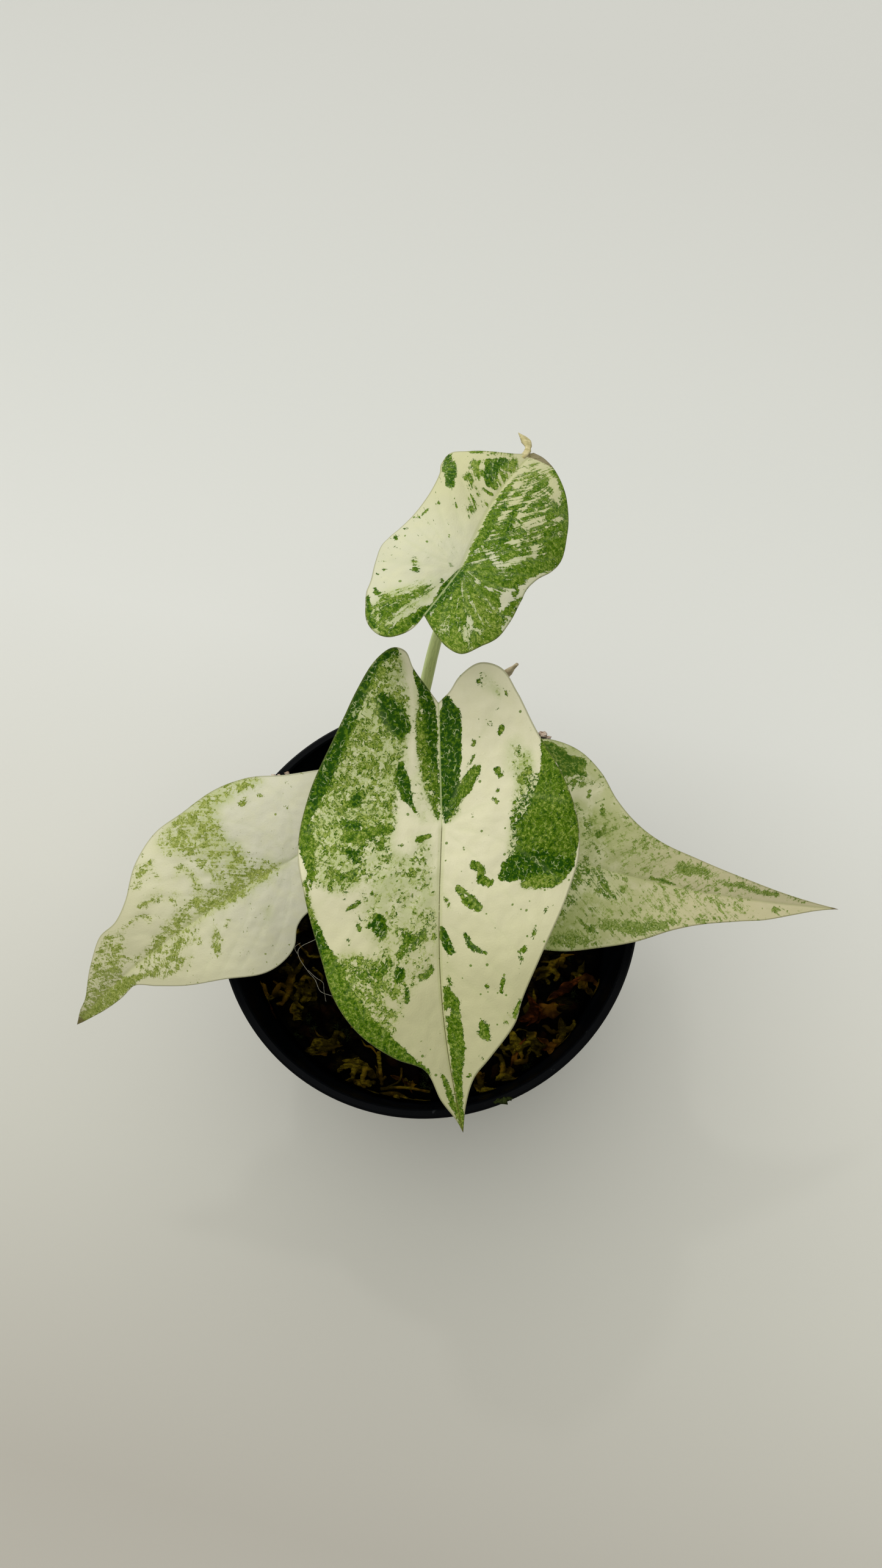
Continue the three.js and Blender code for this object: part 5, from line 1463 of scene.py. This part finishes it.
# Green that cream shows through, clear cream streaks, and small dark specks
STROKE_KINDS.update({
    "marble": (0.85, 0.6, 0.8, 1.2), "clear": (-0.1, 0.5, 0.3, 1.1), "speck": (1.5, 1.2, 0.1, 0.8)})
TOP_STROKES = [
    ("green", [(-15, 8, 6.5), (-8, 9, 8.6), (0, 10, 9.7), (12, 10.4, 10), (24, 10, 9.2), (32, 8, 5)]),
    ("olive", [(-14, 8, 5), (-8, 9, 4)]),
    ("green", [(-17, 2.4, 1.6), (-14.6, 1.2, 1.2), (-12.8, 0.4, 0.6)]),
    ("marble", [(4, 3, 1), (8, 5, 3), (14, 6, 4), (20, 6, 5), (26, 6, 5), (31, 5, 3)],
     [(3, 8, 1.6), (7, 9.6, 2), (12, 11, 2), (19, 14, 1.6)],
     [(-13, 9, 1.6), (-10, 7.4, 1.2), (-15, 4, 0.6)]),
    ("clear", [(-12.6, 9.2, 0.2), (-11.4, 8.8, 0.7), (-9.4, 7, 0.3)],
     [(-11.6, 11.6, 0.1), (-11, 10.4, 0.2)]),
    ("haze", [(-17, 4.6, 0.1), (-14, 3.8, 0.2), (-12, 3, 0.1)],
     [(-9, 4.8, 0.1), (-6, 3.2, 0.3), (-3, 2, 0.3), (-1, 1.2, 0.2)]),
    ("mottle", [(-5, 5.6, 0.5), (-8, 10.4, 0.4), (-4, 8, 0.4)]),
    ("deep", [(-10, 0.6, 0.8), (-6, 0.4, 1.4), (-2, 0.5, 1.2), (1, 1, 0.4)]),
    ("cream", [(-3.6, 11, 0.7), (-1.6, 10.5, 1.1), (0.8, 12.2, 1.1), (3.4, 13.6, 0.7), (8, 16, 0.4)]),
    ("green", [(-0.2, 11.6, 0.5), (0.5, 11.7, 0.5)], [(-4.2, 12.4, 0.5), (-3.6, 12.8, 0.4)]),
    ("pale", [(-8, 13.9, 0.2), (-2, 13.2, 0.3), (4, 14.6, 0.5), (8, 16.4, 0.4), (12, 17.6, 0.2)]),
    ("clear", [(-1.2, 9, 0.3), (-2.2, 5.4, 0.2), (-1.5, 3, 0.3), (-0.6, 1.6, 0.1)],
     [(6.2, 9.6, 0.4), (4.8, 8, 0.4), (3.4, 6.2, 0.8), (4.6, 4.6, 1), (6, 5.6, 0.4)],
     [(3.2, 3.4, 0.2), (1.6, 1.8, 0)], [(2, 0.8, 0), (6, 2, 0.1), (10, 3.2, 0.2)],
     [(10, 12, 0.4), (11.6, 11.8, 0.8), (13, 13.6, 0.2)]),
    ("green", [(4.9, 7.2, 0.3), (5.8, 7.6, 0.4)]),
    ("deep", [(7, 4.8, 0.4), (10, 5.6, 0.7)]),
    ("clear", [(8.6, 9.4, 0), (10.4, 7.8, 0.3), (9, 6, 0)],
     [(13.2, 6.4, 0), (17, 5.8, 0.3), (22, 6.6, 0.2), (27, 7, 0.1)],
     [(19, 10.4, 0.6), (16.6, 9, 0.9), (14.6, 7.6, 0.3)]),
    ("deep", [(12, 5.2, 0.4), (15, 4.8, 0.5), (18, 4.6, 0.3)]),
    ("clear", [(13.6, 3.2, 0.2), (18, 3.6, 0.5), (23, 4.4, 0.3), (28, 4.6, 0.2)]),
    ("deep", [(16, 2.6, 0.4), (17.4, 2.2, 0.5)]),
    ("clear", [(16, 1.2, 0.2), (20, 2.4, 0.3), (24, 2.6, 0.6), (28, 2, 0.5)],
     [(20.4, 12.6, 0.3), (23, 13.4, 0.4)], [(20, 8.4, 0), (24, 9.6, 0.2), (29, 9, 0.2)],
     [(26.6, 11, 0.6), (29.6, 9, 0.8), (32, 6.4, 1.1)]),
    ("veil", [(32, 6, 0.6), (34, 5, 1)], [(-20.4, -6, 2), (-17, -6, 3), (-13, -5, 2.4), (-9, -3, 1)]),
    ("pale", [(31, 4.4, 0.8), (34, 3, 2), (38, 1, 1.2)]),
    ("mottle", [(26, 2, 0.8), (30, 3, 0.8), (33, 2.4, 0.6)]),
    ("haze", [(-21, -5, 1), (-18, -4.4, 2), (-14.6, -5, 1.6), (-11, -3.4, 0.8), (-6, -2.6, 0.5)]),
    ("olive", [(-20.4, -6.6, 1.2), (-17.4, -6.4, 1.6), (-14.4, -6.6, 1.2)]),
    ("green", [(-21.4, -4.6, 1.2), (-19, -3, 1.4), (-16, -1.8, 1), (-12, -0.8, 0.6)]),
    ("flecks", [(-18, -7.6, 1.4), (-15, -6.6, 1.6), (-12, -4.4, 1), (-8, -2.6, 0.7)]),
    ("mottle", [(-13.4, -8, 0.9), (-11, -6, 1), (-8, -4, 0.8)]),
    ("deep", [(-15.4, -1.2, 0.8), (-13, -0.4, 0.8), (-11, 0.2, 0.8)],
     [(-21, -7.6, 0.5), (-18, -9.8, 0.6), (-14.6, -11.4, 0.3)]),
    ("green", [(-19.6, -8.6, 0.3), (-18.4, -9.8, 0.4)]),
    ("flecks", [(-11.3, -5.2, 0.4), (-11.2, -5.8, 0.3)]),
    ("speck", [(-12.2, -11, 0.35), (-12, -11.3, 0.35)], [(-13.2, -10, 0.3), (-13, -10.3, 0.3)],
     [(-8.2, -12.8, 0.25), (-8.1, -13.5, 0.25)], [(-7, -12.2, 0.2), (-6.8, -12.9, 0.2)],
     [(-4.1, -11.8, 0.25), (-3.8, -12.7, 0.25)], [(-5.4, -6.6, 0.25), (-5.1, -6.9, 0.25)],
     [(0.3, -14.6, 0.25), (0.4, -14.9, 0.25)], [(3, -13.3, 0.3), (3.2, -13.6, 0.3)],
     [(6.3, -12, 0.3), (6.4, -12.4, 0.25)], [(-5, -1.5, 0.25), (-4.6, -1.7, 0.25)],
     [(-1, -1.8, 0.2), (-0.9, -2.2, 0.2)]),
    ("flecks", [(-4.2, -7.4, 0.5), (-3.6, -8.2, 0.5)]),
    ("green", [(7.2, -11.4, 0.2), (8.8, -10.8, 0.15)], [(10.2, -2.7, 0.25), (11, -2.8, 0.25)],
     [(10.4, -9.4, 0.25), (10.8, -9.4, 0.2)], [(11.2, -5.8, 0.2), (11.6, -6.2, 0.2)]),
    ("flecks", [(12.2, -3, 0.5), (13.8, -2.8, 0.8), (14.6, -4.2, 0.7)],
     [(15.4, -1.2, 0.5), (15.6, -1.6, 0.4)], [(16, -3.2, 0.5), (17.4, -3.6, 0.4)],
     [(17, -5, 0.5), (19, -6, 0.9), (18.6, -7.2, 0.5), (20.4, -6.6, 0.8)]),
    ("green", [(18.4, -1.2, 0.5), (18.5, -2.8, 0.5)]),
    ("olive", [(20.6, -1.2, 0.7), (22.4, -2.2, 1.2), (22.8, -4, 0.9)],
     [(21, -5.4, 0.7), (23, -6.6, 0.9), (24.6, -7.4, 0.6)],
     [(28.6, -1, 1.1), (27.6, -3, 1.3), (25.6, -5, 0.9), (24.6, -3, 0.8)]),
    ("deep", [(20.4, -2.6, 0.7), (23, -3.6, 1.3), (26.4, -4, 1.5), (29, -3, 1.1)],
     [(15.4, -9, 0.8), (18, -10, 1.2), (21, -11.4, 1.5), (24, -13, 1), (26, -13.8, 0.4)]),
    ("olive", [(23, -1, 0.8), (27, -1.4, 1.2), (31, -1.4, 1)],
     [(27.8, -10.6, 0.5), (30, -6.4, 0.7), (32.6, -3.4, 0.6)]),
    ("cream", [(26.2, -1, 0.3), (26.2, -2.2, 0.3)]),
    ("flecks", [(25.8, -6.6, 0.5), (26.8, -5.4, 0.5)]),
    ("haze", [(19, -11.6, 0), (23, -12.2, 0)]),
    ("green", [(28.2, -8, 0.4), (27.4, -9.6, 0.3)]),
    ("mottle", [(29.6, -6.4, 0.8), (31, -4.4, 0.9), (31.4, -2.6, 0.6)]),
    ("pale", [(32, -0.6, 0.8), (38, 0, 0.8)])]
TOP_LOOKS = {
    "Cream": (0.50, 0.495, 0.35), "Far cream and shade": (0.46, 0.45, 0.25), "Haze": (0.33, 0.38, 0.17),
    "Pale green": (0.24, 0.30, 0.055), "Green": (0.09, 0.165, 0.006), "Deep green": (0.015, 0.06, 0.0),
    "Raggedness": 5.0, "Streakiness": 0.8, "Speck share": 0.3,
    "Midrib width": 0.7, "Midrib line": 0.15}
build_leaf("top", TOP_LEAF, (-0.4, 0.4, 0.05), TOP_STROKES, TOP_LOOKS, route=[
    (-8.9, 5.2, 62), (-8.5, 12, 85), (-5.4, 23, 113), (-0.3, 35.6, 142), (2.1, 41, 154.5)], radius=(2.1, 1.0))


# Dry tip: the end of the newest leaf, dried to a thin straw-coloured ribbon that hooks to
# one side. It is part of the blade's own tissue, and grew out of its point.
DRY_TIP_ROUTE = [(34, -1, 0), (38.4, -1.4, 0), (40.6, -2.6, 0.2), (42.2, -5.2, 0.4)]


def ribbon_part(route, radius, flatness, sides=14, steps=40, seed=0):
    # A dried stalk: flattened, wrinkled lengthwise and slowly twisted. The radius is given
    # as pairs of a share of the length and the radius there.
    centres, ahead, side, other = along_route(route, steps + 1)
    vertices = []
    for step in range(steps + 1):
        share = step / steps
        size = np.interp(share, *zip(*radius))
        twist = 1.1 * share
        for i in range(sides):
            angle = 2 * math.pi * i / sides
            c, s = math.cos(angle), math.sin(angle)
            wrinkle = 1 + 0.22 * noise.noise((c * 1.6, s * 1.6, share * 4 + seed * 7))
            u = size * wrinkle * math.cos(angle + twist)
            v = size * wrinkle * math.sin(angle + twist)
            vertices.append(centres[step] + (side[step] * u + other[step] * v) * (1 - flatness * s ** 2))
    vertices += [centres[0] - ahead[0] * 0.3, centres[-1] + ahead[-1] * 0.25]
    return vertices, closed_tube_faces(steps, sides)


DRY_TIP_RADIUS = ((0, 0.7), (0.4, 0.75), (0.52, 0.6), (0.72, 1.25), (0.85, 1.0), (1, 0.2))
straw = earthy_material("straw_tissue", (0.34, 0.30, 0.13), (0.54, 0.48, 0.27), 220, 0.7, 0.0001, 0.1)
dry_route = [blade_point(TOP_LEAF, *point).tolist() for point in DRY_TIP_ROUTE]
dry_tip = joined("leaf_top_dry_tip", [ribbon_part(dry_route, DRY_TIP_RADIUS, 0.6)], straw)
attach(dry_tip, "root")
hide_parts("leaf_top")


# Withered stalk: what is left of a leaf that has died back, a thin papery stalk that stands
# behind the front leaf with only its tip in sight.
WITHERED_ROUTE = [
    (-5.1, 7.1, 62), (-3.2, 12, 80), (-1, 20, 94), (4, 31, 107), (11, 39, 117), (16.9, 43.5, 124),
    (19.5, 44.7, 128)]
WITHERED_RADIUS = ((0, 1.3), (0.9, 0.95), (0.955, 1.35), (0.98, 0.7), (1, 0.55))
dry_tissue = earthy_material("dry_tissue", (0.20, 0.16, 0.085), (0.52, 0.44, 0.29), 260, 0.7, 0.0001, 0.1)
withered_part = ribbon_part(WITHERED_ROUTE, WITHERED_RADIUS, 0.35, steps=160, seed=3)
withered = joined("withered_stalk", [withered_part], dry_tissue)
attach(withered, "root")
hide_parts("withered_stalk")


# Crumbs: bits of bark mix and a dry fibre left lying on the pot's lip when it was filled.
# They are loose, and hold by damp only.
LIP_HEIGHT = 85
PALE_CRUMBS = [
    (892, 1204, 1.0), (887, 1201, 0.7), (899, 1208, 0.6), (470, 1267, 0.6), (457, 1270, 0.4),
    (448, 1271, 0.6)]
MOSSY_CRUMBS = [(826, 1804, 1.1), (818, 1803, 0.8), (834, 1800, 0.7), (812, 1806, 0.5)]


def crumb_part(column, row, size, seed):
    # Column and row of the photograph, and half the length
    centre = seen_at(column, row, LIP_HEIGHT + size * 0.45)

    def shape(point):
        dent = 1 + 0.7 * noise.noise(point * 1.6 + Vector((seed * 5.0, 0, 0)))
        return centre + np.array(point) * dent * size * np.array((1, 0.7, 0.5))

    return lump_part(shape)


pale_crumb = earthy_material("pale_crumb", (0.24, 0.16, 0.11), (0.60, 0.50, 0.40), 900, 0.9)
for name, crumbs, material, slot in (("lip_crumbs", PALE_CRUMBS, pale_crumb, "bark_mix"),
                                     ("lip_moss", MOSSY_CRUMBS, moss_green, "moss")):
    piece = joined(name, [crumb_part(*crumb, k) for k, crumb in enumerate(crumbs)], material)
    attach(piece, "root")
